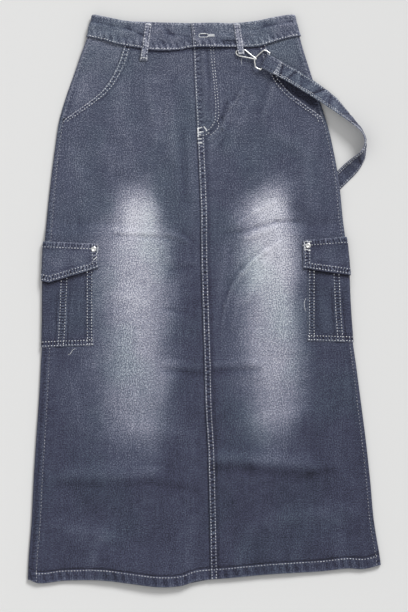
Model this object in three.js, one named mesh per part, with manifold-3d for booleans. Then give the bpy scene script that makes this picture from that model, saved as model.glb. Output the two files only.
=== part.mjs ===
// A long denim skirt with cargo pockets, lying flat on its back with the front up.
// X runs across the skirt, Y up towards the waist, Z up from the surface it lies on. Millimetres.
// The origin is on that surface, under the middle of the outline. "down" is how far a place is
// below the highest corner of the waist.
// The skirt is a flattened tube: the back panels lie on the surface, turn round at the two sides
// and meet the front panels a little way in on top, where the side seams are.
import * as THREE from 'three';
import Module from 'manifold-3d';

// Driving dimensions

const CLOTH = 1.2; // one layer of denim
const GAP = 0.3; // between pieces that are sewn or lie together
const LAYER = CLOTH + GAP;
const WAIST_CORNER_Y = 486;
const FRONT_HEIGHT = 5.8; // front's outer face above the back's
const FOLD_REACH = 3.2; // depth of the turn at each side, seen from above
const QUARTER = (Math.PI / 4) * (FOLD_REACH + FRONT_HEIGHT / 2); // skin round a quarter of that turn
const HEM_DEPTH = 18;
const HEM_RISE = 0.8;
const HEM_STEP = 2;
const TUCK = 8; // panels run up this far inside the waistband

const BAND_CLOTH = 2.2;
const BACK_LOOP_CLOTH = 1;
const WAIST_STACK = { rise: BAND_CLOTH + BACK_LOOP_CLOTH + 2 * GAP, full: 62, none: 100 };

// Outline as laid. The seam columns say how far in from the fold each side seam lies on the front.
const SIDES = [
  { down: 0, left: -188.5, right: 151, leftSeam: 6, rightSeam: 6 },
  { down: 20, left: -194.5, right: 156.5, leftSeam: 6, rightSeam: 6 },
  { down: 39, left: -199.5, right: 162, leftSeam: 6, rightSeam: 6 },
  { down: 62, left: -208, right: 168.5, leftSeam: 6, rightSeam: 6 },
  { down: 110, left: -225, right: 184, leftSeam: 6, rightSeam: 6 },
  { down: 145, left: -237, right: 195.5, leftSeam: 6.5, rightSeam: 6 },
  { down: 180, left: -247, right: 207, leftSeam: 7, rightSeam: 6 },
  { down: 215, left: -252.5, right: 216, leftSeam: 7.5, rightSeam: 6 },
  { down: 280, left: -261, right: 228, leftSeam: 8.5, rightSeam: 6 },
  { down: 350, left: -268.5, right: 235.5, leftSeam: 10, rightSeam: 6 },
  { down: 415, left: -273.5, right: 243.5, leftSeam: 11, rightSeam: 6 },
  { down: 485, left: -275, right: 247, leftSeam: 12.5, rightSeam: 6 },
  { down: 555, left: -276, right: 252, leftSeam: 13.5, rightSeam: 6 },
  { down: 590, left: -278, right: 257, leftSeam: 14, rightSeam: 6 },
  { down: 655, left: -281.5, right: 265.5, leftSeam: 14.5, rightSeam: 6.5 },
  { down: 725, left: -286.5, right: 274.5, leftSeam: 15, rightSeam: 7 },
  { down: 790, left: -290.5, right: 281.5, leftSeam: 15, rightSeam: 7 },
  { down: 860, left: -294, right: 288, leftSeam: 15, rightSeam: 7 },
  { down: 925, left: -299, right: 298.5, leftSeam: 15, rightSeam: 7 },
  { down: 973, left: -300.5, right: 303, leftSeam: 15, rightSeam: 7 },
];

// Edge of the right front, from the fly down the centre seam to the hem.
const CENTRE = [
  { down: 14, x: -22.5 },
  { down: 56, x: -18.5 },
  { down: 120, x: -15.8 },
  { down: 165, x: -13.4 },
  { down: 230, x: -10.4 },
  { down: 326, x: -6.3 },
  { down: 425, x: -5.1 },
  { down: 566, x: -0.7 },
  { down: 663, x: 1.9 },
  { down: 738, x: 6 },
  { down: 826, x: 8.5 },
  { down: 973, x: 11.3 },
];

// "across" is 0 at the left fold, 0.5 at the centre front and 1 at the right fold.
const WAIST_TOP = [
  { across: 0, down: 0 },
  { across: 0.09, down: 5.8 },
  { across: 0.16, down: 10.2 },
  { across: 0.24, down: 12.2 },
  { across: 0.41, down: 13.8 },
  { across: 0.5, down: 14.5 },
  { across: 0.62, down: 13.9 },
  { across: 0.7, down: 14.6 },
  { across: 0.82, down: 10.4 },
  { across: 0.9, down: 4.8 },
  { across: 0.97, down: 0.9 },
  { across: 1, down: 0 },
];
const WAIST_SEAM = [
  { across: 0, down: 38 },
  { across: 0.08, down: 44.2 },
  { across: 0.17, down: 52.3 },
  { across: 0.24, down: 56 },
  { across: 0.32, down: 60.5 },
  { across: 0.43, down: 59.8 },
  { across: 0.5, down: 55.5 },
  { across: 0.6, down: 54.7 },
  { across: 0.72, down: 55 },
  { across: 0.8, down: 54.2 },
  { across: 0.89, down: 45.2 },
  { across: 0.96, down: 39 },
  { across: 1, down: 36.5 },
];
const HEM = [
  { across: 0, down: 958 },
  { across: 0.03, down: 965.4 },
  { across: 0.1, down: 961 },
  { across: 0.2, down: 960.5 },
  { across: 0.27, down: 965.5 },
  { across: 0.36, down: 972 },
  { across: 0.42, down: 969.5 },
  { across: 0.46, down: 961 },
  { across: 0.5, down: 958.8 },
  { across: 0.56, down: 956.3 },
  { across: 0.67, down: 950.3 },
  { across: 0.82, down: 945.2 },
  { across: 0.9, down: 940.2 },
  { across: 0.95, down: 941 },
  { across: 1, down: 934 },
];

// Slanted front pocket mouths, as distances out from one line, the same on both sides.
const MOUTH_CENTRE = -16;
const MOUTH = [
  { down: 40, out: 116 },
  { down: 62, out: 123 },
  { down: 81, out: 129 },
  { down: 100, out: 138 },
  { down: 118, out: 149 },
  { down: 135, out: 164 },
  { down: 152, out: 186 },
  { down: 167, out: 207 },
  { down: 181, out: 226 },
];
const MOUTH_END = 181;
const HIP_UNDER = 25; // the hip piece runs on this far under the front
const HIP_STEP = 0.6; // share of its showing width over which it dips under the front

// Largest folds: each is a soft ridge along a line.
const FOLDS = [
  { x1: -155, down1: 935, x2: -40, down2: 975, wide: 34, rise: 5 },
  { x1: -60, down1: 905, x2: -70, down2: 840, wide: 30, rise: 2 },
  { x1: -30, down1: 800, x2: -230, down2: 780, wide: 26, rise: 2.2 },
  { x1: 30, down1: 765, x2: 215, down2: 778, wide: 26, rise: 2.2 },
  { x1: 60, down1: 935, x2: 210, down2: 905, wide: 26, rise: 2 },
  { x1: 55, down1: 360, x2: 125, down2: 352, wide: 20, rise: 1.8 },
  { x1: 30, down1: 600, x2: 95, down2: 600, wide: 18, rise: 1.4 },
  { x1: -62, down1: 630, x2: -118, down2: 660, wide: 20, rise: 1.4 },
  { x1: 36, down1: 225, x2: 66, down2: 125, wide: 14, rise: 1.8 },
  { x1: -40, down1: 190, x2: -44, down2: 300, wide: 16, rise: 1.4 },
];
const FOLD_NEAR_SIDE = { none: 12, full: 60 };

// The left front's edge dips and runs on under the right front below the fly.
const LAP = { dipFrom: 200, dipTo: 212, tongueTo: 225, reach: 8, stepAt: 7, stepTo: 1.5 };
const FLY_END = 199;
const FLY_CLOTH = 1;
const FLY_SHIELD = { from: -12, to: 40 };
const ZIP = { from: -10, to: 24 };

// The waistband's right end lies over its left end and over the button sewn there.
const UNDERLAP = 40;
const BUTTON = { along: 16, down: 36, radius: 8, height: 1.2 };
const OVERLAP = [
  { along: 0, rise: BAND_CLOTH + GAP },
  { along: 4, rise: BAND_CLOTH + BUTTON.height + 2 * GAP },
  { along: 28, rise: BAND_CLOTH + BUTTON.height + 2 * GAP },
  { along: 46, rise: BAND_CLOTH + GAP },
  { along: 66, rise: 0 },
];
const BAND_ROWS = [0, 0.5, 1];

// Cargo pockets straddle the sides. Front edges are places across the skirt; the rest is measured
// round the skin from the fold, more than 0 over the front and less than 0 under the back.
const POCKETS = [
  {
    side: 'left', bodyX: -188, bodyBack: -69, flapX: -179.5, flapBack: -76,
    topFront: 389, topSide: 385, cornerDown: 430, pointDown: 455, pointAt: 11,
    bottomFront: 561, bottomSide: 565, pleatFrom: 27, pleatTo: 41,
  },
  {
    side: 'right', bodyX: 175, bodyBack: -80, flapX: 167.5, flapBack: -86,
    topFront: 383, topSide: 377, cornerDown: 431, pointDown: 443, pointAt: -6,
    bottomFront: 554, bottomSide: 556, pleatFrom: 16, pleatTo: 29,
  },
];
const BODY_TOP = 14; // body's top edge below the flap's
const PLEAT_RISE = 0.8;
const PLEAT_EDGE = 1.5;
const RIVET = { radius: 4.6, height: 1.4, hollow: 1.7, fromEdge: 8.5, fromTop: 9 };
// The pocket layers under the back hold it up. Rows say where each slope starts and ends.
const STACK = { start: 355, flap: 372, flapEnd: 457, body: 472, bodyEnd: 568, end: 583 };
const BACK_STACK = { wide: 98, fade: 14 };
const FRONT_STACK = { wide: 118, fade: 34 };

const LOOP_WIDTH = 10.6;
const LOOP_CLOTH = 1.6;
// "bridge" is how high a loop stands off the waistband near its foot.
const LOOPS = [
  { name: 'belt_loop_left', topX: -94.7, topDown: 14.4, endX: -103.7, endDown: 78, bridge: 0 },
  { name: 'belt_loop_right', topX: 54.5, topDown: 15, endX: 64, endDown: 78, bridge: 0.6 },
];
const BACK_LOOPS = [
  { name: 'belt_loop_back_left', from: -95 },
  { name: 'belt_loop_back_centre', from: 0 },
  { name: 'belt_loop_back_right', from: 95 },
];

// The strap: its middle line, heading in degrees and how far it rolls onto its outer edge.
const STRAP_WIDTH = 25;
const STRAP_CLOTH = 1.8;
const STRAP = [
  { x: 121, down: 88.6, z: 14.4, heading: -29, roll: 2 },
  { x: 137, down: 97.5, z: 13.2, heading: -30, roll: 6 },
  { x: 154, down: 107, z: 12.2, heading: -31, roll: 10 },
  { x: 186, down: 127, z: 12, heading: -34, roll: 17 },
  { x: 213.5, down: 146.5, z: 12.4, heading: -38, roll: 30 },
  { x: 235.5, down: 165.5, z: 12.8, heading: -42, roll: 48 },
  { x: 257, down: 186, z: 13.2, heading: -48, roll: 68 },
  { x: 267.5, down: 198, z: 13.4, heading: -60, roll: 77 },
  { x: 272.5, down: 209.5, z: 13.4, heading: -78, roll: 80 },
  { x: 273, down: 222.5, z: 13.3, heading: -97, roll: 77 },
  { x: 268.5, down: 236.5, z: 12.4, heading: -115, roll: 62 },
  { x: 260, down: 248.5, z: 9.6, heading: -128, roll: 38 },
  { x: 248, down: 261, z: 4.4, heading: -134, roll: 12 },
  { x: 236, down: 273, z: 1, heading: -135, roll: 0 },
  { x: 214, down: 295, z: 1, heading: -135, roll: 0 },
  { x: 193, down: 316, z: 1, heading: -135, roll: 0 },
];
const STRAP_STEPS = 3;
const STRAP_LIFT = { rise: STRAP_CLOTH + 2 * GAP, full: 26, fade: 22 };

// A bent wire holds the strap: a frame that the strap's end folds round, with a loop that
// passes under the right belt loop.
const WIRE = 1.2;
const WIRE_SIDES = 7;
const FRAME_STEPS = 30;
const HOOK_STEPS = 28;
const FRAME = { x: 103.4, down: 79.6, z: 12.9, heading: -29, depth: 12.5, width: 35, corner: 3 };
const HOOK = [
  { x: 92.4, down: 75, z: 12.9 },
  { x: 78, down: 71.8, z: 12 },
  { x: 62, down: 69.3, z: 11.4 },
  { x: 55.5, down: 67, z: 11.3 },
  { x: 53.6, down: 63.6, z: 11.3 },
  { x: 56, down: 60.4, z: 11.3 },
  { x: 63, down: 59.3, z: 11.3 },
  { x: 70.6, down: 59.9, z: 11.3 },
  { x: 79, down: 65.5, z: 11.8 },
  { x: 90.8, down: 72, z: 12.9 },
];
const STRAP_FOLD = { under: 23, endZ: -0.7 }; // length turned back, and its end's height from the bar

// Colours as on the real cloth and fittings

const DENIM = new THREE.MeshStandardMaterial({ name: 'denim', color: 0x5b6273, roughness: 0.95 });
const METAL = new THREE.MeshStandardMaterial({
  name: 'nickel', color: 0xc6c7c4, roughness: 0.3, metalness: 1,
});
const ZIP_TAPE = new THREE.MeshStandardMaterial({ name: 'zip_tape', color: 0x3a3d46, roughness: 0.8 });

// Small tools

const mix = (a, b, t) => a + (b - a) * t;
const clamp = (v, low, high) => Math.min(high, Math.max(low, v));
const ramp = (v, from, to) => clamp((v - from) / (to - from), 0, 1);
const radians = (degrees) => (degrees * Math.PI) / 180;
const point = (x, down, z) => new THREE.Vector3(x, WAIST_CORNER_Y - down, z);

// A smooth curve through one column of a table.
function curveOf(rows, along, column) {
  const at = rows.map((row) => row[along]);
  const value = rows.map((row) => row[column]);
  const last = rows.length - 1;
  const slope = value.map((_, i) => {
    const low = Math.max(i - 1, 0);
    const high = Math.min(i + 1, last);
    return (value[high] - value[low]) / (at[high] - at[low]);
  });
  return (wanted) => {
    const v = clamp(wanted, at[0], at[last]);
    let i = 0;
    while (i < last - 1 && v > at[i + 1]) i += 1;
    const span = at[i + 1] - at[i];
    const t = (v - at[i]) / span;
    const t2 = t * t;
    const t3 = t2 * t;
    return (
      (2 * t3 - 3 * t2 + 1) * value[i] +
      (t3 - 2 * t2 + t) * span * slope[i] +
      (3 * t2 - 2 * t3) * value[i + 1] +
      (t3 - t2) * span * slope[i + 1]
    );
  };
}

// Straight lines through one column of a table.
function linesOf(rows, along, column) {
  return (wanted) => {
    let i = 0;
    while (i < rows.length - 2 && wanted > rows[i + 1][along]) i += 1;
    const [a, b] = [rows[i], rows[i + 1]];
    return mix(a[column], b[column], ramp(wanted, a[along], b[along]));
  };
}

// Distance from a place to a straight line between two others.
function distanceToLine(x, down, a, b) {
  const run = { x: b.x - a.x, down: b.down - a.down };
  const t = clamp(((x - a.x) * run.x + (down - a.down) * run.down) / (run.x ** 2 + run.down ** 2), 0, 1);
  return Math.hypot(x - a.x - run.x * t, down - a.down - run.down * t);
}

// A closed solid from corner positions and faces, turned the right way out.
function solidFrom(positions, faces) {
  const corner = (i) => new THREE.Vector3().fromArray(positions, 3 * i);
  let volume = 0;
  for (let f = 0; f < faces.length; f += 3) {
    volume += corner(faces[f]).dot(corner(faces[f + 1]).cross(corner(faces[f + 2])));
  }
  const geometry = new THREE.BufferGeometry();
  geometry.setAttribute('position', new THREE.Float32BufferAttribute(positions, 3));
  geometry.setIndex(volume < 0 ? faces.slice().reverse() : faces);
  return geometry;
}

// A closed wall between two grids of points with the same rows and columns.
function wallOf(outer, inner) {
  const rows = outer.length;
  const columns = outer[0].length;
  const positions = [outer, inner].flat(2).flatMap((p) => [p.x, p.y, p.z]);
  const out = (i, j) => i * columns + j;
  const back = (i, j) => rows * columns + i * columns + j;
  const faces = [];
  const quad = (a, b, c, d) => faces.push(a, b, c, a, c, d);
  for (let i = 0; i < rows - 1; i += 1) {
    for (let j = 0; j < columns - 1; j += 1) {
      quad(out(i, j), out(i + 1, j), out(i + 1, j + 1), out(i, j + 1));
      quad(back(i, j), back(i, j + 1), back(i + 1, j + 1), back(i + 1, j));
    }
    quad(out(i, 0), back(i, 0), back(i + 1, 0), out(i + 1, 0));
    quad(out(i, columns - 1), out(i + 1, columns - 1), back(i + 1, columns - 1), back(i, columns - 1));
  }
  for (let j = 0; j < columns - 1; j += 1) {
    quad(out(0, j), out(0, j + 1), back(0, j + 1), back(0, j));
    quad(out(rows - 1, j), back(rows - 1, j), back(rows - 1, j + 1), out(rows - 1, j + 1));
  }
  return solidFrom(positions, faces);
}

// A wall from columns: each column is a list of rows, each row an outer and an inner point.
const wallFromColumns = (columns) => wallOf(
  columns.map((column) => column.map((pair) => pair.outer)),
  columns.map((column) => column.map((pair) => pair.inner)),
);

function piece(name, geometry, material = DENIM) {
  const mesh = new THREE.Mesh(geometry, material);
  mesh.name = name;
  return mesh;
}

// The tube's shape

const EDGE = { left: curveOf(SIDES, 'down', 'left'), right: curveOf(SIDES, 'down', 'right') };
const SEAM_IN = { left: curveOf(SIDES, 'down', 'leftSeam'), right: curveOf(SIDES, 'down', 'rightSeam') };
const centreX = curveOf(CENTRE, 'down', 'x');
const waistTop = curveOf(WAIST_TOP, 'across', 'down');
const waistSeam = curveOf(WAIST_SEAM, 'across', 'down');
const hemLine = curveOf(HEM, 'across', 'down');
const mouthOut = curveOf(MOUTH, 'down', 'out');

const inward = (side) => (side === 'left' ? 1 : -1);
const mouthX = (side, down) => MOUTH_CENTRE - inward(side) * mouthOut(down);
const seamX = (side, down) => EDGE[side](down) + inward(side) * (FOLD_REACH + SEAM_IN[side](down) - QUARTER);
const distanceIn = (x, down) => Math.min(x - EDGE.left(down), EDGE.right(down) - x);

function acrossAt(x, down) {
  const centre = centreX(down);
  if (x < centre) return 0.5 * ((x - EDGE.left(down)) / (centre - EDGE.left(down)));
  return 0.5 + 0.5 * ((x - centre) / (EDGE.right(down) - centre));
}

// Height of what lies between the surface and the back: pocket layers, waistband, strap end.
function stackUnder(x, down, spread) {
  const pocket =
    2 * LAYER * ramp(down, STACK.start, STACK.flap) -
    LAYER * ramp(down, STACK.flapEnd, STACK.body) -
    LAYER * ramp(down, STACK.bodyEnd, STACK.end);
  const nearSide = 1 - ramp(distanceIn(x, down), spread.wide, spread.wide + spread.fade);
  const waist = WAIST_STACK.rise * (1 - ramp(down, WAIST_STACK.full, WAIST_STACK.none));
  const fromStrap = distanceToLine(x, down, STRAP[STRAP.length - 3], STRAP[STRAP.length - 1]);
  const strap = 1 - ramp(fromStrap, STRAP_LIFT.full, STRAP_LIFT.full + STRAP_LIFT.fade);
  return Math.max(pocket * nearSide, waist, STRAP_LIFT.rise * strap);
}

function foldRelief(x, down) {
  let z = 0;
  for (const fold of FOLDS) {
    const [a, b] = [{ x: fold.x1, down: fold.down1 }, { x: fold.x2, down: fold.down2 }];
    z += fold.rise * Math.exp(-((distanceToLine(x, down, a, b) / fold.wide) ** 2));
  }
  return z * ramp(distanceIn(x, down), FOLD_NEAR_SIDE.none, FOLD_NEAR_SIDE.full);
}

const backZ = (x, down) => stackUnder(x, down, BACK_STACK);
const frontZ = (x, down) => FRONT_HEIGHT + stackUnder(x, down, FRONT_STACK) + foldRelief(x, down);

// A point on the skin round one side, moved out by "lift". "along" is 0 at the outermost line.
function skin(side, along, down, lift) {
  const turn = inward(side);
  const flatX = EDGE[side](down) + turn * FOLD_REACH;
  const x = flatX + turn * Math.max(0, Math.abs(along) - QUARTER);
  if (along > QUARTER) return point(x, down, frontZ(x, down) + lift);
  if (along < -QUARTER) return point(x, down, backZ(x, down) - lift);
  const low = backZ(flatX, down);
  const half = (frontZ(flatX, down) - low) / 2;
  const angle = (along / QUARTER) * (Math.PI / 2);
  const outX = Math.cos(angle) / FOLD_REACH;
  const outZ = Math.sin(angle) / half;
  const step = lift / Math.hypot(outX, outZ);
  return point(
    flatX - turn * (FOLD_REACH * Math.cos(angle) + outX * step),
    down,
    low + half * (1 + Math.sin(angle)) + outZ * step,
  );
}

const alongOf = (side, x, down) => QUARTER - FOLD_REACH + inward(side) * (x - EDGE[side](down));
const FOLD_TURNS = [QUARTER, QUARTER / 2, 0, -QUARTER / 2, -QUARTER];

// Rows down every panel: level lines between the waist and the hem, the same for all, so that
// pieces meet along their seams.
const LEVELS = [
  WAIST_STACK.full, 81, WAIST_STACK.none, 118, 135, 152, 167, MOUTH_END, LAP.dipFrom, LAP.dipTo,
  LAP.tongueTo, 240, 256, 272, 288, 304, 320, 338, STACK.start, STACK.flap, 415, STACK.flapEnd,
  STACK.body, 512, 545, STACK.bodyEnd, STACK.end, 620, 660, 700, 740, 780, 820, 860, 900,
];

// How far down a line such as the hem is in a column of points, whose x changes with its rows.
function downOnLine(columnX, line, guess) {
  let down = guess;
  for (let i = 0; i < 6; i += 1) down = line(acrossAt(columnX(down), down));
  return down;
}

// The row tops and levels of a column, with how far each has risen into the turned-up hem.
function panelRows(columnX) {
  const seam = downOnLine(columnX, waistSeam, 50);
  const hem = downOnLine(columnX, hemLine, 955);
  const plain = [seam - TUCK, seam, ...LEVELS, hem - HEM_DEPTH - HEM_STEP];
  const turned = [hem - HEM_DEPTH, hem];
  return [...plain.map((down) => ({ down, hem: 0 })), ...turned.map((down) => ({ down, hem: HEM_RISE }))];
}

function shortRows(columnX, end) {
  const seam = downOnLine(columnX, waistSeam, 50);
  return [seam - TUCK, seam, ...LEVELS.filter((down) => down < end), end];
}

// One column of a piece on the front: its outer face is "below" the front's outer face.
const frontPair = (x, down, below, cloth, rise = 0) => ({
  outer: point(x, down, frontZ(x, down) - below + rise),
  inner: point(x, down, frontZ(x, down) - below - cloth),
});

// Front panels

// The left front ends at the fly, then dips and runs on under the right front.
const lapDip = (down) => LAYER * ramp(down, LAP.dipFrom, LAP.dipTo);
const leftInner = (down) => centreX(down) - GAP + (LAP.reach + GAP) * ramp(down, LAP.dipTo, LAP.tongueTo);

function frontLimit(side, down) {
  const seam = seamX(side, down) + inward(side) * GAP;
  if (down >= MOUTH_END) return seam;
  return side === 'left' ? Math.max(seam, mouthX(side, down)) : Math.min(seam, mouthX(side, down));
}

function frontPanel(side) {
  const turn = inward(side);
  const steps = [0, 18, 36, 56];
  const lastStep = (down) => frontLimit(side, down) + turn * steps[steps.length - 1];
  const nearCentre = side === 'left'
    ? [
      { x: (down) => centreX(down) - LAP.stepAt, dip: false },
      { x: (down) => centreX(down) - LAP.stepTo, dip: true },
      { x: leftInner, dip: true },
    ]
    : [{ x: (down) => centreX(down) + 12, dip: false }, { x: centreX, dip: false }];
  const columns = [
    ...steps.map((step) => ({ x: (down) => frontLimit(side, down) + turn * step, dip: false })),
    ...[0.17, 0.34, 0.5, 0.67, 0.84].map((share) => ({
      x: (down) => mix(lastStep(down), nearCentre[0].x(down), share), dip: false,
    })),
    ...nearCentre,
  ];
  return wallFromColumns(columns.map((column) => panelRows(column.x).map((row) => frontPair(
    column.x(row.down),
    row.down,
    column.dip ? lapDip(row.down) : 0,
    CLOTH,
    column.dip ? 0 : row.hem,
  ))));
}

// Back panels: from the side seam on the front, round the fold, to the centre back

function backPanel(side) {
  const centreReach = (down) => alongOf(side, centreX(down) - (inward(side) * GAP) / 2, down);
  const farthest = BACK_STACK.wide + BACK_STACK.fade;
  const columns = [
    SEAM_IN[side],
    ...FOLD_TURNS.map((along) => () => along),
    ...[16, 29, 42, 56, 74, BACK_STACK.wide, farthest].map((reach) => () => -reach),
    (down) => -mix(farthest, centreReach(down), 0.5),
    (down) => -centreReach(down),
  ];
  return wallFromColumns(columns.map((columnAlong) => {
    const columnX = (down) =>
      EDGE[side](down) + inward(side) * (FOLD_REACH + Math.max(0, Math.abs(columnAlong(down)) - QUARTER));
    return panelRows(columnX).map((row) => {
      const along = columnAlong(row.down);
      const rise = row.hem * ramp(along, 0, QUARTER);
      return { outer: skin(side, along, row.down, rise), inner: skin(side, along, row.down, -CLOTH) };
    });
  }));
}

// Hip pieces that show inside the slanted pocket mouths and run on under the fronts

function hipPiece(side) {
  const turn = inward(side);
  const seam = (down) => seamX(side, down) + turn * GAP;
  const mouth = (down) => (side === 'left' ? Math.max : Math.min)(seam(down) + turn, mouthX(side, down));
  const columns = [
    { x: seam, dips: 0 },
    { x: (down) => mix(seam(down), mouth(down), HIP_STEP), dips: 1 },
    { x: mouth, dips: 1 },
    { x: (down) => mouth(down) + turn * HIP_UNDER, dips: 1 },
  ];
  return wallFromColumns(columns.map((column) => shortRows(column.x, MOUTH_END - 4).map((down) => frontPair(
    column.x(down), down, LAYER * column.dips, CLOTH,
  ))));
}

// The fly's shield and closed zip, under the right front

function flyStrip(span, below, end) {
  const columns = [0, 1 / 3, 2 / 3, 1].map((share) => (down) => centreX(down) + mix(span.from, span.to, share));
  return wallFromColumns(columns.map((columnX) => shortRows(columnX, end).map((down) => frontPair(
    columnX(down), down, below, FLY_CLOTH,
  ))));
}

// Waistband: one strip, from the underlap round the left side, the back and the right side to the overlap

const overlapRise = linesOf(OVERLAP, 'along', 'rise');

// Where a share of the way across is, clear of the turns at the sides.
function bandX(across, down) {
  if (across < 0.5) return mix(EDGE.left(down) + FOLD_REACH, centreX(down), 2 * across);
  return mix(centreX(down), EDGE.right(down) - FOLD_REACH, 2 * across - 1);
}

const bandDown = (across, row) => mix(waistTop(across), waistSeam(across), BAND_ROWS[row]);
const BAND_MIDDLE = 36;
const halfWidth = {
  left: centreX(BAND_MIDDLE) - EDGE.left(BAND_MIDDLE) - FOLD_REACH,
  right: EDGE.right(BAND_MIDDLE) - FOLD_REACH - centreX(BAND_MIDDLE),
};
// Share of the way across of a place some millimetres right of the centre front.
const acrossFrom = (along) => 0.5 + (0.5 * along) / (along < 0 ? halfWidth.left : halfWidth.right);

function bandPoint(station, row, lift) {
  if (station.fold) return skin(station.fold, station.along, bandDown(station.across, row), lift);
  const down = bandDown(station.across, row);
  const x = bandX(station.across, down);
  if (station.under) return point(x, down, backZ(x, down) - lift);
  return point(x, down, frontZ(x, down) + lift + (station.rise ?? 0));
}

function waistband() {
  const front = (across) => ({ across });
  const fold = (side, across) => (along) => ({ fold: side, across, along });
  const stations = [
    ...[UNDERLAP, UNDERLAP / 2, 0].map((along) => front(acrossFrom(along))),
    ...[0.42, 0.34, 0.26, 0.18, 0.1].map(front),
    ...FOLD_TURNS.map(fold('left', 0)),
    ...[0.1, 0.2, 0.3, 0.4, 0.5, 0.6, 0.7, 0.8, 0.9].map((across) => ({ across, under: true })),
    ...FOLD_TURNS.slice().reverse().map(fold('right', 1)),
    ...[0.95, 0.88, 0.81].map(front),
    ...OVERLAP.slice().reverse().map((row) => ({ across: acrossFrom(row.along), rise: row.rise })),
  ];
  const grid = (lift) => BAND_ROWS.map((_, row) => stations.map((station) => bandPoint(station, row, lift)));
  return wallOf(grid(GAP + BAND_CLOTH), grid(GAP));
}

function waistButton() {
  const x = bandX(acrossFrom(BUTTON.along), BUTTON.down);
  const z = frontZ(x, BUTTON.down) + BAND_CLOTH + 2 * GAP;
  const disc = new THREE.CylinderGeometry(BUTTON.radius, BUTTON.radius, BUTTON.height, 20);
  disc.rotateX(Math.PI / 2);
  const at = point(x, BUTTON.down, z + BUTTON.height / 2);
  return disc.translate(at.x, at.y, at.z);
}

// Cargo pockets: a body and a pointed flap each, wrapped round the side

function pocketWall(pocket, frontX, backAlong, rowsAt, low, rises) {
  const { side } = pocket;
  const frontAlong = (down) => alongOf(side, frontX, down);
  const columns = [
    frontAlong,
    (down) => mix(pocket.pleatTo + PLEAT_EDGE, frontAlong(down), 0.5),
    ...[pocket.pleatTo + PLEAT_EDGE, pocket.pleatTo, pocket.pleatFrom, pocket.pleatFrom - PLEAT_EDGE]
      .map((along) => () => along),
    ...FOLD_TURNS.map((along) => () => along),
    () => mix(-QUARTER, backAlong, 0.35),
    () => mix(-QUARTER, backAlong, 0.7),
    () => backAlong,
  ];
  return wallFromColumns(columns.map((columnAlong) => rowsAt(columnAlong).map((down) => {
    const along = columnAlong(down);
    const rise = rises * PLEAT_RISE * ramp(down, STACK.flapEnd, STACK.body) *
      ramp(along, pocket.pleatFrom - PLEAT_EDGE, pocket.pleatFrom) *
      (1 - ramp(along, pocket.pleatTo, pocket.pleatTo + PLEAT_EDGE));
    return {
      outer: skin(side, along, down, low + CLOTH + rise),
      inner: skin(side, along, down, low),
    };
  })));
}

// A line that runs level from the front edge to the fold and mirrors it under the back.
function pocketLine(pocket, frontX, backAlong, frontDown, foldDown, turnAt) {
  const front = alongOf(pocket.side, frontX, frontDown);
  return (along) => {
    const share = along > turnAt ? ramp(along, turnAt, front) : 1 - ramp(along, backAlong, turnAt);
    return mix(foldDown, frontDown, share);
  };
}

function pocketTop(pocket, frontX, backAlong) {
  return pocketLine(pocket, frontX, backAlong, pocket.topFront, pocket.topSide, 0);
}

function cargoBody(pocket) {
  const top = pocketTop(pocket, pocket.bodyX, pocket.bodyBack);
  const bottom = pocketLine(
    pocket, pocket.bodyX, pocket.bodyBack, pocket.bottomFront, pocket.bottomSide, 0,
  );
  const levels = LEVELS.filter((down) => down > 410 && down < 550);
  const rowsAt = (columnAlong) => {
    const [first, last] = [columnAlong(pocket.topFront), columnAlong(pocket.bottomFront)];
    return [top(first) + BODY_TOP, ...levels, bottom(last)];
  };
  return pocketWall(pocket, pocket.bodyX, pocket.bodyBack, rowsAt, GAP, 1);
}

function cargoFlap(pocket) {
  const top = pocketTop(pocket, pocket.flapX, pocket.flapBack);
  const bottom = pocketLine(
    pocket, pocket.flapX, pocket.flapBack, pocket.cornerDown, pocket.pointDown, pocket.pointAt,
  );
  const rowsAt = (columnAlong) => {
    const [first, last] = [top(columnAlong(pocket.topFront)), bottom(columnAlong(pocket.cornerDown))];
    return [0, 0.5, 1].map((share) => mix(first, last, share));
  };
  return pocketWall(pocket, pocket.flapX, pocket.flapBack, rowsAt, GAP + LAYER, 0);
}

function rivet(pocket) {
  const x = pocket.flapX - inward(pocket.side) * RIVET.fromEdge;
  const down = pocket.topFront + RIVET.fromTop;
  const at = point(x, down, frontZ(x, down) + 2 * LAYER + GAP);
  const profile = [
    [0, 0], [RIVET.radius, 0], [RIVET.radius, 0.5], [RIVET.radius - 0.8, RIVET.height],
    [RIVET.hollow + 0.5, RIVET.height], [RIVET.hollow, 0.6], [0, 0.6],
  ].map(([radius, height]) => new THREE.Vector2(radius, height));
  const turned = new THREE.LatheGeometry(profile, 20).rotateX(Math.PI / 2);
  return turned.translate(at.x, at.y, at.z);
}

// Belt loops

// Rows along a front loop: flat on the waistband, over the edge of it, down to the panel.
function frontLoop(loop) {
  const onBand = BAND_CLOTH + GAP + GAP;
  const rows = [
    { down: loop.topDown, lift: onBand },
    { down: 48, lift: onBand },
    { down: 57, lift: onBand + loop.bridge },
    { down: 65, lift: onBand + loop.bridge + 0.3 },
    { down: 71.5, lift: onBand + loop.bridge * 2.4 },
    { down: loop.endDown, lift: GAP },
  ];
  const centre = (down) => mix(loop.topX, loop.endX, ramp(down, loop.topDown, loop.endDown));
  return wallFromColumns([-0.5, 0, 0.5].map((share) => rows.map(({ down, lift }) => {
    const x = centre(down) + share * LOOP_WIDTH;
    const z = frontZ(centre(down), down) + lift;
    return { outer: point(x, down, z + LOOP_CLOTH), inner: point(x, down, z) };
  })));
}

function backLoop(loop) {
  const across = acrossFrom(loop.from);
  const columns = [-0.5, 0.5].map((share) => BAND_ROWS.map((_, row) => {
    const down = bandDown(across, row);
    const x = bandX(across, down) + share * LOOP_WIDTH;
    return { outer: point(x, down, 0), inner: point(x, down, BACK_LOOP_CLOTH) };
  }));
  return wallFromColumns(columns);
}

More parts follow.
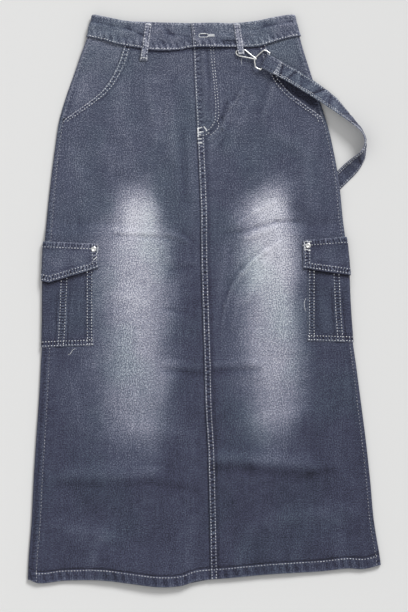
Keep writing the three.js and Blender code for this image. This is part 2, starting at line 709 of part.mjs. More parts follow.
// The strap: its end folds back round the frame's far bar, then it runs over the hip and under the back

const frameDirection = new THREE.Vector3(Math.cos(radians(FRAME.heading)), Math.sin(radians(FRAME.heading)), 0);
const frameAcross = new THREE.Vector3(-frameDirection.y, frameDirection.x, 0);
const frameBar = point(FRAME.x, FRAME.down, FRAME.z);

function strapFoldLine() {
  const radius = WIRE + GAP + STRAP_CLOTH / 2;
  const place = (run, z) => frameBar.clone().addScaledVector(frameDirection, run).setZ(FRAME.z + z);
  const turned = [90, 135, 180, 225, 270].map((degrees) => place(
    radius * Math.cos(radians(degrees)), -radius * Math.sin(radians(degrees)),
  ));
  return [place(STRAP_FOLD.under, STRAP_FOLD.endZ), place(9, -1.9), ...turned].map((at) => ({
    at, across: frameAcross,
  }));
}

function strapRunLine() {
  const numbered = STRAP.map((row, index) => ({ ...row, index }));
  const column = (name) => curveOf(numbered, 'index', name);
  const [x, down, z, heading, roll] = ['x', 'down', 'z', 'heading', 'roll'].map(column);
  const count = (STRAP.length - 1) * STRAP_STEPS;
  return Array.from({ length: count + 1 }, (_, i) => {
    const t = i / STRAP_STEPS;
    const turn = radians(heading(t));
    const lean = radians(Math.max(0, roll(t)));
    const resting = (STRAP_CLOTH * Math.cos(lean) + STRAP_WIDTH * Math.sin(lean)) / 2;
    const sideways = new THREE.Vector3(-Math.sin(turn), Math.cos(turn), 0).multiplyScalar(Math.cos(lean));
    return {
      at: point(x(t), down(t), Math.max(z(t), resting)),
      across: sideways.setZ(-Math.sin(lean)),
    };
  });
}

function strap() {
  const line = [...strapFoldLine(), ...strapRunLine()];
  const rows = line.map(({ at, across }, i) => {
    const ahead = line[Math.min(i + 1, line.length - 1)].at;
    const behind = line[Math.max(i - 1, 0)].at;
    const normal = new THREE.Vector3().crossVectors(ahead.clone().sub(behind), across).normalize();
    return [-0.5, 0.5].map((share) => {
      const edge = at.clone().addScaledVector(across, share * STRAP_WIDTH);
      return {
        outer: edge.clone().addScaledVector(normal, STRAP_CLOTH / 2),
        inner: edge.clone().addScaledVector(normal, -STRAP_CLOTH / 2),
      };
    });
  });
  return wallFromColumns(rows);
}

// The bent wire: a rectangular frame and a three-cornered loop, in one piece

function wireRing(points, steps) {
  const path = new THREE.CatmullRomCurve3(points, true, 'centripetal');
  const frames = path.computeFrenetFrames(steps, true);
  const positions = [];
  const faces = [];
  for (let i = 0; i < steps; i += 1) {
    const centre = path.getPointAt(i / steps);
    for (let j = 0; j < WIRE_SIDES; j += 1) {
      const turn = (2 * Math.PI * j) / WIRE_SIDES;
      const rim = centre.clone()
        .addScaledVector(frames.normals[i], WIRE * Math.cos(turn))
        .addScaledVector(frames.binormals[i], WIRE * Math.sin(turn));
      positions.push(rim.x, rim.y, rim.z);
      const [a, b] = [i * WIRE_SIDES + j, i * WIRE_SIDES + ((j + 1) % WIRE_SIDES)];
      const [c, d] = [a, b].map((corner) => (corner + WIRE_SIDES) % (steps * WIRE_SIDES));
      faces.push(a, b, d, a, d, c);
    }
  }
  return solidFrom(positions, faces);
}

function framePoints() {
  const half = FRAME.width / 2 - WIRE;
  const cut = FRAME.corner;
  const corners = [
    [0, half - cut], [-cut, half], [cut - FRAME.depth, half], [-FRAME.depth, half - cut],
    [-FRAME.depth, cut - half], [cut - FRAME.depth, -half], [-cut, -half], [0, cut - half],
  ];
  return corners.map(([run, across]) => frameBar.clone()
    .addScaledVector(frameDirection, run)
    .addScaledVector(frameAcross, across));
}

const wasm = await Module();
wasm.setup();

const toManifold = (geometry) => new wasm.Manifold(new wasm.Mesh({
  numProp: 3,
  vertProperties: Float32Array.from(geometry.attributes.position.array),
  triVerts: Uint32Array.from(geometry.index.array),
}));

function strapClip() {
  const frame = toManifold(wireRing(framePoints(), FRAME_STEPS));
  const hook = toManifold(wireRing(HOOK.map(({ x, down, z }) => point(x, down, z)), HOOK_STEPS));
  const joined = frame.add(hook).getMesh();
  const corners = Array.from({ length: joined.vertProperties.length / joined.numProp }, (_, i) => (
    Array.from(joined.vertProperties.slice(i * joined.numProp, i * joined.numProp + 3))
  ));
  return solidFrom(corners.flat(), Array.from(joined.triVerts));
}

// The skirt

const group = new THREE.Group();
for (const side of ['left', 'right']) {
  group.add(piece(`front_${side}`, frontPanel(side)));
  group.add(piece(`back_${side}`, backPanel(side)));
  group.add(piece(`hip_piece_${side}`, hipPiece(side)));
}
group.add(piece('fly_zip', flyStrip(ZIP, LAYER, FLY_END), ZIP_TAPE));
group.add(piece('fly_shield', flyStrip(FLY_SHIELD, LAYER + FLY_CLOTH + GAP, FLY_END)));
group.add(piece('waistband', waistband()));
group.add(piece('waist_button', waistButton(), METAL));
for (const pocket of POCKETS) {
  group.add(piece(`cargo_pocket_${pocket.side}`, cargoBody(pocket)));
  group.add(piece(`cargo_flap_${pocket.side}`, cargoFlap(pocket)));
  group.add(piece(`rivet_${pocket.side}`, rivet(pocket), METAL));
}
for (const loop of LOOPS) group.add(piece(loop.name, frontLoop(loop)));
for (const loop of BACK_LOOPS) group.add(piece(loop.name, backLoop(loop)));
group.add(piece('strap', strap()));
group.add(piece('strap_clip', strapClip(), METAL));

export default group;
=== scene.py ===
"""A long denim cargo skirt laid flat with its front up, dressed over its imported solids."""

import math

import bpy
import numpy as np
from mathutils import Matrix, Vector
from mathutils.bvhtree import BVHTree


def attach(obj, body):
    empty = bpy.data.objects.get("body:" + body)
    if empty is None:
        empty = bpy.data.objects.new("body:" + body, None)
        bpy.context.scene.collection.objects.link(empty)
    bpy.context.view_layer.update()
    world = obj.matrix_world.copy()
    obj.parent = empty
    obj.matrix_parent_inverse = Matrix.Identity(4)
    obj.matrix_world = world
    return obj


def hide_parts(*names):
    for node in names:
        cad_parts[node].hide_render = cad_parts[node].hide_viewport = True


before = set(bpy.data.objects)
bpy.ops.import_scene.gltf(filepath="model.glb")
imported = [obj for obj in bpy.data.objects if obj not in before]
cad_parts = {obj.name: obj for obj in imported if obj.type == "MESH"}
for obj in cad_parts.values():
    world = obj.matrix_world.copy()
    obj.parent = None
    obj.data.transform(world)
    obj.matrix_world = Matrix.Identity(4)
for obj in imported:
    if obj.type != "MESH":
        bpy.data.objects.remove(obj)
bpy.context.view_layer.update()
scene = bpy.context.scene

# The board under the skirt, the light and the camera.
# The skirt lies on a pale board, lit softly from all round and a little more from the upper left,
# and is seen from straight above. The middle of the view is just below the middle of the skirt.
MM = 0.001
VIEW_HEIGHT = 612 * 1.7 * MM
VIEW_MIDDLE = (-0.85 * MM, -8.5 * MM)
CAMERA_HEIGHT = 7
BOARD_HALF = 12.0
BOARD_BELOW = 0.0003  # so that its face is never level with the cloth's underside


def new_material(name):
    """A material, its shader, and its nodes and links."""
    material = bpy.data.materials.new(name)
    material.use_nodes = True
    nodes = material.node_tree.nodes
    return material, nodes["Principled BSDF"], nodes, material.node_tree.links


def board_material():
    material, shader = new_material("pale_board")[:2]
    shader.inputs["Base Color"].default_value = (0.69, 0.69, 0.685, 1)
    shader.inputs["Roughness"].default_value = 0.9
    shader.inputs["Specular IOR Level"].default_value = 0.2
    return material


def lay_board():
    corners = [
        (x * BOARD_HALF, y * BOARD_HALF, -BOARD_BELOW)
        for x, y in ((-1, -1), (1, -1), (1, 1), (-1, 1))
    ]
    mesh = bpy.data.meshes.new("board")
    mesh.from_pydata(corners, [], [(0, 1, 2, 3)])
    mesh.materials.append(board_material())
    board = bpy.data.objects.new("board", mesh)
    scene.collection.objects.link(board)


def soft_light(name, kind, place, power, size):
    light = bpy.data.lights.new(name, kind)
    light.energy = power
    if kind == "SUN":
        light.angle = size
    else:
        light.size = size
    holder = bpy.data.objects.new(name, light)
    holder.location = place
    holder.rotation_euler = (-Vector(place)).to_track_quat("-Z", "Y").to_euler()
    scene.collection.objects.link(holder)


def set_camera():
    lens = bpy.data.cameras.new("camera")
    lens.sensor_fit = "VERTICAL"
    lens.sensor_height = 36
    lens.lens = 36 * CAMERA_HEIGHT / VIEW_HEIGHT
    camera = bpy.data.objects.new("camera", lens)
    camera.location = (*VIEW_MIDDLE, CAMERA_HEIGHT)
    scene.collection.objects.link(camera)
    scene.camera = camera


lay_board()
soft_light("window", "SUN", (1.2, 2.2, 1.75), 2.7, math.radians(20))
soft_light("room", "AREA", (-1.6, 0.4, 2.6), 10, 2.6)
set_camera()
world = bpy.data.worlds.new("room")
world.use_nodes = True
world.node_tree.nodes["Background"].inputs["Color"].default_value = (1, 1, 1, 1)
world.node_tree.nodes["Background"].inputs["Strength"].default_value = 0.532
scene.world = world
scene.view_settings.view_transform = "Standard"

# Back panels, left and right.
# Two lengths of 12 oz denim, joined down the centre back. Each lies on the board, turns round its
# side and is sewn to the front a little way in on top, where a strip of it shows.
# All lengths below are millimetres; "down" is how far a place is below the waist's highest corner.
CLOTH = 1.2
GAP = 0.3
LAYER = CLOTH + GAP
WAIST_CORNER_Y = 486
FRONT_HEIGHT = 5.8
FOLD_REACH = 3.2
QUARTER = math.pi / 4 * (FOLD_REACH + FRONT_HEIGHT / 2)
OFF_BOARD = 0.06
RIM_OUT = 0.28  # how far the middle of a cut edge stands out
LINING_TONE = 0.52  # the cloth's inside is paler and even
HEM_DEPTH = 18
HEM_RISE = 0.8
HEM_PALER = 0.035
TUCK = 8
BAND_CLOTH = 2.2
BACK_LOOP_CLOTH = 1.0
WAIST_STACK = (BAND_CLOTH + BACK_LOOP_CLOTH + 2 * GAP, 62, 100)  # rise, full to, none from
STACK_ROWS = (355, 372, 457, 472, 568, 583)  # where the slopes over the pocket layers start and end
BACK_STACK = (98, 14)
FRONT_STACK = (118, 34)
STRAP_END = ((236, 273), (193, 316))
STRAP_LIFT = (1.8 + 2 * GAP, 26, 22)
TURN = {"left": 1, "right": -1}

OUTLINE = (  # down, left edge, right edge, left seam in, right seam in
    (0, -188.5, 151, 6, 6),
    (20, -194.5, 156.5, 6, 6),
    (39, -199.5, 162, 6, 6),
    (62, -208, 168.5, 6, 6),
    (110, -225, 184, 6, 6),
    (145, -237, 195.5, 6.5, 6),
    (180, -247, 207, 7, 6),
    (215, -252.5, 216, 7.5, 6),
    (280, -261, 228, 8.5, 6),
    (350, -268.5, 235.5, 10, 6),
    (415, -273.5, 243.5, 11, 6),
    (485, -275, 247, 12.5, 6),
    (555, -276, 252, 13.5, 6),
    (590, -278, 257, 14, 6),
    (655, -281.5, 265.5, 14.5, 6.5),
    (725, -286.5, 274.5, 15, 7),
    (790, -290.5, 281.5, 15, 7),
    (860, -294, 288, 15, 7),
    (925, -299, 298.5, 15, 7),
    (973, -300.5, 303, 15, 7),
)
CENTRE = (  # down, x of the right front's edge
    (14, -22.5),
    (56, -18.5),
    (120, -15.8),
    (165, -13.4),
    (230, -10.4),
    (326, -6.3),
    (425, -5.1),
    (566, -0.7),
    (663, 1.9),
    (738, 6),
    (826, 8.5),
    (973, 11.3),
)
WAIST_SEAM = (  # share across, down
    (0, 38),
    (0.08, 44.2),
    (0.17, 52.3),
    (0.24, 56),
    (0.32, 60.5),
    (0.43, 59.8),
    (0.5, 55.5),
    (0.6, 54.7),
    (0.72, 55),
    (0.8, 54.2),
    (0.89, 45.2),
    (0.96, 39),
    (1, 36.5),
)
HEM = (  # share across, down
    (0, 958),
    (0.03, 965.4),
    (0.1, 961),
    (0.2, 960.5),
    (0.27, 965.5),
    (0.36, 972),
    (0.42, 969.5),
    (0.46, 961),
    (0.5, 958.8),
    (0.56, 956.3),
    (0.67, 950.3),
    (0.82, 945.2),
    (0.9, 940.2),
    (0.95, 941),
    (1, 934),
)
FOLDS = (  # x1, down1, x2, down2, half-width, rise
    (-155, 935, -40, 975, 34, 5),
    (-60, 905, -70, 840, 30, 2),
    (-30, 800, -230, 780, 26, 2.2),
    (30, 765, 215, 778, 26, 2.2),
    (60, 935, 210, 905, 26, 2),
    (55, 360, 125, 352, 20, 1.8),
    (30, 600, 95, 600, 18, 1.4),
    (-62, 630, -118, 660, 20, 1.4),
    (36, 225, 66, 125, 14, 1.8),
    (-40, 190, -44, 300, 16, 1.4),
)
# Lesser creases of the front. Troughs have a rise below 0.
CREASES = (  # x1, down1, x2, down2, half-width, rise
    (69, 118, 61, 136, 1.6, 1.5),
    (61, 136, 43, 158, 2.4, 2.2),
    (71, 116, 60, 138, 4, 0.8),
    (46, 152, 31, 192, 3.2, 2.9),
    (31, 192, 8, 212, 3.6, 2.3),
    (37, 150, 29, 176, 2.4, -2.2),
    (29, 176, 8, 203, 2.6, -2.2),
    (60, 150, 40, 200, 5, 1.3),
    (40, 200, 10, 228, 5, 1.2),
    (84, 140, 60, 182, 6, 1.2),
    (60, 182, 40, 236, 7, 1.1),
    (53, 136, 39, 166, 3, -1.6),
    (46, 186, 26, 222, 3.4, -1.5),
    (120, 112, 100, 176, 5, 1.4),
    (108, 116, 92, 168, 5, -1.2),
    (-37, 196, -34, 316, 6, -1.3),
    (-27, 210, -24, 300, 7, 0.8),
    (-60, 150, -52, 250, 10, 1.1),
    (-96, 120, -80, 210, 11, 0.9),
    (-150, 130, -120, 240, 16, 0.9),
    (30, 373, 58, 370, 3.4, -0.9),
    (58, 370, 88, 361, 3.2, -1.8),
    (88, 361, 122, 352, 3.2, -2.4),
    (122, 352, 157, 351, 3, -1.9),
    (56, 356, 84, 334, 3.4, 1.6),
    (84, 334, 118, 318, 4, 1.6),
    (66, 344, 98, 322, 2.6, -1.1),
    (70, 379, 118, 362, 5, 1.7),
    (128, 384, 105, 402, 3, 1.9),
    (105, 402, 84, 418, 3, 2.1),
    (84, 418, 64, 439, 3, 2.2),
    (64, 439, 46, 466, 3, 2.1),
    (46, 466, 35, 496, 3, 1.8),
    (35, 496, 31, 530, 3, 1.4),
    (124, 392, 100, 424, 4, 1.3),
    (104, 392, 62, 430, 3, -1.5),
    (62, 430, 42, 458, 3, -1.5),
    (42, 458, 29, 500, 3, -1.3),
    (60, 470, 48, 530, 4, 1.0),
    (24, 420, 44, 404, 3, -1.0),
    (60, 500, 82, 488, 5, -0.9),
    (92, 446, 60, 500, 7, 1.0),
    (36, 400, 24, 470, 7, 1.0),
    (-156, 375, -104, 377, 3, -1.2),
    (-104, 377, -60, 380, 3, -1.4),
    (-150, 368, -80, 370, 5, 0.9),
    (-38, 370, -20, 384, 3, -1.4),
    (-60, 436, -24, 428, 4, -1.1),
    (-66, 500, -34, 506, 4, -1.2),
    (-60, 372, -30, 383, 4, 1.2),
    (-160, 470, -100, 488, 10, 0.9),
    (-60, 414, -18, 420, 7, 0.8),
    (18, 606, 90, 603, 6, -1.5),
    (18, 594, 86, 592, 8, 1.2),
    (-67, 604, -8, 610, 6, -1.4),
    (-67, 594, -10, 598, 7, 1.1),
    (-246, 800, -92, 795, 8, -1.3),
    (-92, 795, -16, 808, 7, -1.2),
    (-240, 780, -90, 776, 14, 1.3),
    (18, 768, 77, 773, 8, -1.8),
    (77, 773, 180, 783, 9, -2.0),
    (180, 783, 213, 774, 7, -1.4),
    (18, 752, 180, 762, 13, 1.7),
    (-120, 700, -30, 712, 16, 1.0),
    (60, 690, 170, 676, 16, 1.0),
    (110, 860, 250, 842, 15, 1.3),
    (-250, 870, -160, 884, 14, 1.1),
    (-196, 935, -172, 880, 10, 1.3),
    (-30, 935, -22, 860, 9, 1.3),
    (60, 930, 78, 870, 10, 1.0),
    (150, 930, 168, 880, 9, 1.1),
    (232, 925, 226, 862, 9, 1.2),
    (-228, 620, -206, 700, 12, 0.8),
    (206, 600, 196, 690, 12, 0.8),
    (170, 250, 186, 330, 12, 0.9),
    (-214, 240, -206, 330, 12, 0.8),
    (120, 200, 176, 236, 9, 0.9),
    (-190, 230, -120, 262, 12, 0.8),
)


def mix(a, b, t):
    return a + (b - a) * t


def ramp(v, start, end):
    return np.clip((v - start) / (end - start), 0, 1)


def hump(distance, width):
    return np.exp(-((distance / width) ** 2))


def line_through(table, column=1):
    """A smooth line through one column of a table, read at values of its first column."""
    at = np.array([row[0] for row in table], float)
    value = np.array([row[column] for row in table], float)
    low = np.maximum(np.arange(len(at)) - 1, 0)
    high = np.minimum(np.arange(len(at)) + 1, len(at) - 1)
    slope = (value[high] - value[low]) / (at[high] - at[low])

    def read(wanted):
        v = np.clip(wanted, at[0], at[-1])
        i = np.clip(np.searchsorted(at, v) - 1, 0, len(at) - 2)
        span = at[i + 1] - at[i]
        t = (v - at[i]) / span
        ends = (2 * t**3 - 3 * t**2 + 1) * value[i] + (3 * t**2 - 2 * t**3) * value[i + 1]
        return ends + ((t**3 - 2 * t**2 + t) * slope[i] + (t**3 - t**2) * slope[i + 1]) * span

    return read


EDGE = {"left": line_through(OUTLINE, 1), "right": line_through(OUTLINE, 2)}
SEAM_IN = {"left": line_through(OUTLINE, 3), "right": line_through(OUTLINE, 4)}
centre_x = line_through(CENTRE)
waist_seam = line_through(WAIST_SEAM)
hem_line = line_through(HEM)


def distance_in(x, down):
    return np.minimum(x - EDGE["left"](down), EDGE["right"](down) - x)


def across_at(x, down):
    centre = centre_x(down)
    left, right = EDGE["left"](down), EDGE["right"](down)
    return np.where(
        x < centre, 0.5 * (x - left) / (centre - left), 0.5 + 0.5 * (x - centre) / (right - centre)
    )


def distance_to(x, down, x1, down1, x2, down2):
    run_x, run_down = x2 - x1, down2 - down1
    t = np.clip(((x - x1) * run_x + (down - down1) * run_down) / (run_x**2 + run_down**2), 0, 1)
    return np.hypot(x - x1 - run_x * t, down - down1 - run_down * t)


def crease_height(table, x, down):
    return sum(rise * hump(distance_to(x, down, *ends), wide) for *ends, wide, rise in table)


def unevenness(x, down, size, seed):
    """Soft random waves about one size long, between -1 and 1 for the most part."""
    chance = np.random.default_rng(seed)
    total = 0
    for _ in range(9):
        length = size * chance.uniform(0.7, 1.6)
        turn = chance.uniform(0, math.pi)
        wave = (x * math.cos(turn) + down * math.sin(turn)) * 2 * math.pi / length
        total = total + np.sin(wave + chance.uniform(0, 2 * math.pi))
    return total / 3


def stack_under(x, down, wide, fade):
    """Height of what lies between the board and the back: pocket layers, waistband, strap end."""
    start, flap, flap_end, body, body_end, end = STACK_ROWS
    pocket = (
        LAYER * (
            2 * ramp(down, start, flap) - ramp(down, flap_end, body) - ramp(down, body_end, end)
        )
    )
    near_side = 1 - ramp(distance_in(x, down), wide, wide + fade)
    waist = WAIST_STACK[0] * (1 - ramp(down, *WAIST_STACK[1:]))
    rise, full, soften = STRAP_LIFT
    strap = (
        rise * (1 - ramp(distance_to(x, down, *STRAP_END[0], *STRAP_END[1]), full, full + soften))
    )
    return np.maximum(np.maximum(pocket * near_side, waist), strap)


def back_z(x, down):
    return stack_under(x, down, *BACK_STACK)


def front_z(x, down):
    inside = distance_in(x, down)
    folds = crease_height(FOLDS, x, down) * ramp(inside, 12, 60)
    creases = (
        crease_height(CREASES, x, down) + 0.55 * unevenness(x, down, 90, 3)
        + 0.2 * unevenness(x, down, 30, 4)
    )
    below_waist = ramp(down, WAIST_STACK[1], WAIST_STACK[2] + 20)
    return (
        FRONT_HEIGHT + stack_under(x, down, *FRONT_STACK) + folds
        + creases * ramp(inside, 5, 26) * below_waist
    )


def skin(side, along, down, lift):
    (
        """Points on the skirt round one side. "along" is 0 at the outermost line, more over the front."""
    )
    turn = TURN[side]
    along, down, lift = np.broadcast_arrays(np.asarray(along, float), down, lift)
    flat_x = EDGE[side](down) + turn * FOLD_REACH
    x = flat_x + turn * np.maximum(0, np.abs(along) - QUARTER)
    low = back_z(flat_x, down)
    half = (front_z(flat_x, down) - low) / 2
    angle = np.clip(along / QUARTER, -1, 1) * math.pi / 2
    out_x, out_z = np.cos(angle) / FOLD_REACH, np.sin(angle) / half
    step = lift / np.hypot(out_x, out_z)
    turned_x = flat_x - turn * (FOLD_REACH * np.cos(angle) + out_x * step)
    turned_z = low + half * (1 + np.sin(angle)) + out_z * step
    flat = np.abs(along) > QUARTER
    flat_z = np.where(along > 0, front_z(x, down) + lift, back_z(x, down) - lift)
    return np.stack([np.where(flat, x, turned_x), down, np.where(flat, flat_z, turned_z)], axis=-1)


def along_of(side, x, down):
    return QUARTER - FOLD_REACH + TURN[side] * (x - EDGE[side](down))


def seam_x(side, down):
    return EDGE[side](down) + TURN[side] * (FOLD_REACH + SEAM_IN[side](down) - QUARTER)


def world_points(points):
    """From x, down and z in millimetres to the frame's metres."""
    placed = np.array(points, float)
    placed[..., 1] = WAIST_CORNER_Y - placed[..., 1]
    return placed * MM


def placed(name, mesh, material, slot, node):
    """Puts a finished mesh into the scene in the place of a node's solid."""
    mesh.polygons.foreach_set("use_smooth", [True] * len(mesh.polygons))
    mesh.materials.append(material)
    piece = bpy.data.objects.new(name, mesh)
    scene.collection.objects.link(piece)
    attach(piece, "root")
    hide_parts(node)
    return piece


def cloth_piece(name, outer, inner, weave, wash, ladder, material, node):
    """A closed cloth shell from grids of outer and inner points, with rounded edges all round.

    weave holds each point's place on the flat cloth in metres; wash its tone, wear and painted shade;
    ladder its place along the nearest double seam and how much that seam puckers it, which the
    material draws as bumps and as painted light and shade."""
    rows, columns = outer.shape[:2]
    middle = (outer + inner) / 2
    ring = [(i, 0) for i in range(rows)] + [(rows - 1, j) for j in range(1, columns)]
    ring += (
        [(i, columns - 1) for i in range(rows - 2, -1, -1)]
        + [(0, j) for j in range(columns - 2, 0, -1)]
    )
    at = np.array(ring)
    step = np.where(at == 0, 1, -1) * ((at == 0) | (at == [rows - 1, columns - 1]))
    inside = np.clip(at + step, 0, [rows - 1, columns - 1])
    outward = middle[at[:, 0], at[:, 1]] - middle[inside[:, 0], inside[:, 1]]
    outward /= np.maximum(np.linalg.norm(outward, axis=1, keepdims=True), 1e-9)
    rim = middle[at[:, 0], at[:, 1]] + outward * RIM_OUT
    points = np.concatenate([outer.reshape(-1, 3), inner.reshape(-1, 3), rim])
    points[:, 2] = np.maximum(points[:, 2], OFF_BOARD)
    index = np.arange(rows * columns).reshape(rows, columns)
    quads = np.stack([index[:-1, :-1], index[1:, :-1], index[1:, 1:], index[:-1, 1:]], axis=-1).reshape(
        -1, 4
    )
    back = quads[:, ::-1] + rows * columns
    edge = at[:, 0] * columns + at[:, 1]
    rims = np.arange(len(ring)) + 2 * rows * columns
    after_edge, after_rim = np.roll(edge, -1), np.roll(rims, -1)
    low = np.stack([edge, rims, after_rim, after_edge], axis=-1)
    high = np.stack([rims, edge + rows * columns, after_edge + rows * columns, after_rim], axis=-1)
    faces = np.concatenate([quads, back, low, high])
    a, b, c, d = (points[faces[:, k]] for k in range(4))
    volume = np.einsum("ij,ij->", a, np.cross(b, c)) + np.einsum("ij,ij->", a, np.cross(c, d))
    if volume > 0:  # down runs against Y, so the sign is turned
        faces = faces[:, ::-1]
    mesh = bpy.data.meshes.new(name)
    mesh.from_pydata(world_points(points).tolist(), [], faces.tolist())
    flat = np.concatenate([weave.reshape(-1, 2)] * 2 + [weave[at[:, 0], at[:, 1]]])
    corners = np.array([loop.vertex_index for loop in mesh.loops])
    mesh.uv_layers.new(name="cloth").data.foreach_set("uv", flat[corners].ravel())
    along = np.stack(np.broadcast_arrays(ladder[0] * MM, ladder[1]), axis=-1)
    pucker = np.concatenate(
        [along.reshape(-1, 2), along.reshape(-1, 2) * [1, 0], along[at[:, 0], at[:, 1]] * [1, 0]]
    )
    mesh.uv_layers.new(name="ladder").data.foreach_set("uv", pucker[corners].ravel())
    lining = wash.reshape(-1, 3) * [0, 0.3, 1] + [LINING_TONE, 0, 0]
    tones = np.concatenate([wash.reshape(-1, 3), lining, wash[at[:, 0], at[:, 1]] + [0.0, 0.35, 0]])
    colours = np.concatenate([np.clip(tones, 0, 1), np.ones((len(tones), 1))], axis=1)
    mesh.color_attributes.new("wash", "FLOAT_COLOR", "POINT").data.foreach_set(
        "color", colours.ravel()
    )
    return placed(name, mesh, material, "denim", node)


def lay_sheet(piece, sewn=()):
    """Reads the flat coordinates of a piece's cloth map."""
    mesh = piece.data
    flat = np.empty(2 * len(mesh.loops))
    mesh.uv_layers["cloth"].data.foreach_get("uv", flat)


WASH_BY_HEIGHT = (  # down, tone
    (0, 0.44),
    (60, 0.42),
    (130, 0.38),
    (300, 0.35),
    (450, 0.3),
    (640, 0.27),
    (780, 0.235),
    (973, 0.225),
)
RIGHT_DARKER = 0.02
BETWEEN_DARKER = 0.03
THIGH_FADES = {  # down, middle x, half-width, strength
    "left": (
        (262, -112, 26, 0),
        (288, -115, 32, 0.28),
        (306, -117, 34, 0.6),
        (331, -115, 38, 0.92),
        (357, -115, 46, 0.94),
        (385, -117, 57, 0.82),
        (460, -118, 62, 0.78),
        (560, -117, 62, 0.69),
        (640, -118, 61, 0.62),
        (690, -119, 59, 0.53),
        (718, -121, 54, 0.4),
        (748, -122, 48, 0.2),
        (785, -122, 42, 0.07),
        (815, -122, 36, 0),
    ),
    "right": (
        (258, 124, 24, 0),
        (283, 121, 30, 0.24),
        (306, 110, 36, 0.62),
        (331, 107, 39, 0.93),
        (357, 109, 45, 0.84),
        (382, 111, 50, 0.88),
        (433, 110, 54, 0.93),
        (484, 112, 53, 0.78),
        (560, 113, 58, 0.72),
        (612, 117, 54, 0.68),
        (663, 117, 49, 0.58),
        (690, 115, 44, 0.5),
        (715, 113, 42, 0.37),
        (745, 112, 38, 0.2),
        (785, 112, 32, 0.05),
        (810, 112, 28, 0),
    ),
}
wash_by_height = line_through(WASH_BY_HEIGHT)


def thigh_fade(x, down):
    total = 0
    for table in THIGH_FADES.values():
        middle, wide, strength = (line_through(table, column)(down) for column in (1, 2, 3))
        edge = 1 + 0.06 * unevenness(x, down, 80, 8)
        falls_fast = np.where(x < middle, 2.1, 3.8)  # both fades are crisper on their right
        reach = wide * edge * np.where(x < middle, 1.05, 0.98)
        total = (
            total + np.clip(strength, 0, 1) * np.exp(-np.abs((x - middle) / reach) ** falls_fast)
        )
    return np.clip(total, 0, 1)


def wash_tone_and_crease_shade(x, down):
    """How pale the cloth is from washing, from 0, raw, to 1, nearly white; creases add wear and painted light and
    shade.
    """
    cloudy = 0.014 * unevenness(x, down, 60, 5) + 0.01 * unevenness(x, down, 17, 6)
    # Crease ridges paler and troughs darker: partly wear, partly painted light and shade.
    crease_wear_and_shade = 0.05 * np.clip(crease_height(CREASES, x, down), -2, 2)
    side = -RIGHT_DARKER * ramp(x, -10, 50)
    fade = (0.57 + 0.05 * ramp(x, -20, 20)) * thigh_fade(x, down)
    between = -BETWEEN_DARKER * hump(x, 55) * ramp(down, 330, 420) * ramp(down, 780, 680)
    return wash_by_height(down) + side + between + cloudy + crease_wear_and_shade + fade


def puckers(place, distance, reach=6, pitch=8.5):
    """Small waves across a sewn line, strongest on it: positive on crests."""
    wave = np.sin(2 * math.pi * place / pitch + 1.7 * np.sin(place / 19.0))
    return wave * hump(distance, reach)


def noise_texture(nodes, scale, detail, name):
    noise = nodes.new("ShaderNodeTexNoise")
    noise.name = name
    noise.inputs["Scale"].default_value = scale
    noise.inputs["Detail"].default_value = detail
    return noise


def colours_at(nodes, links, value, stops):
    """Colours read off a ramp at a value, from pairs of place and colour."""
    node = nodes.new("ShaderNodeValToRGB")
    elements = node.color_ramp.elements
    while len(elements) < len(stops):
        elements.new(0.5)
    for element, (place, colour) in zip(elements, stops):
        element.position = place
        element.color = (*colour, 1)
    links.new(value, node.inputs[0])
    return node.outputs[0]


DENIM_COLOURS = (  # tone, colour
    (0.0, (0.008, 0.009, 0.018)),
    (0.24, (0.040, 0.0445, 0.079)),
    (0.42, (0.077, 0.093, 0.136)),
    (0.7, (0.25, 0.265, 0.33)),
    (1.0, (0.66, 0.68, 0.73)),
)
DENIM_CASTS = ((0.34, (0.95, 1, 0.98)), (0.52, (1, 0.975, 0.998)))


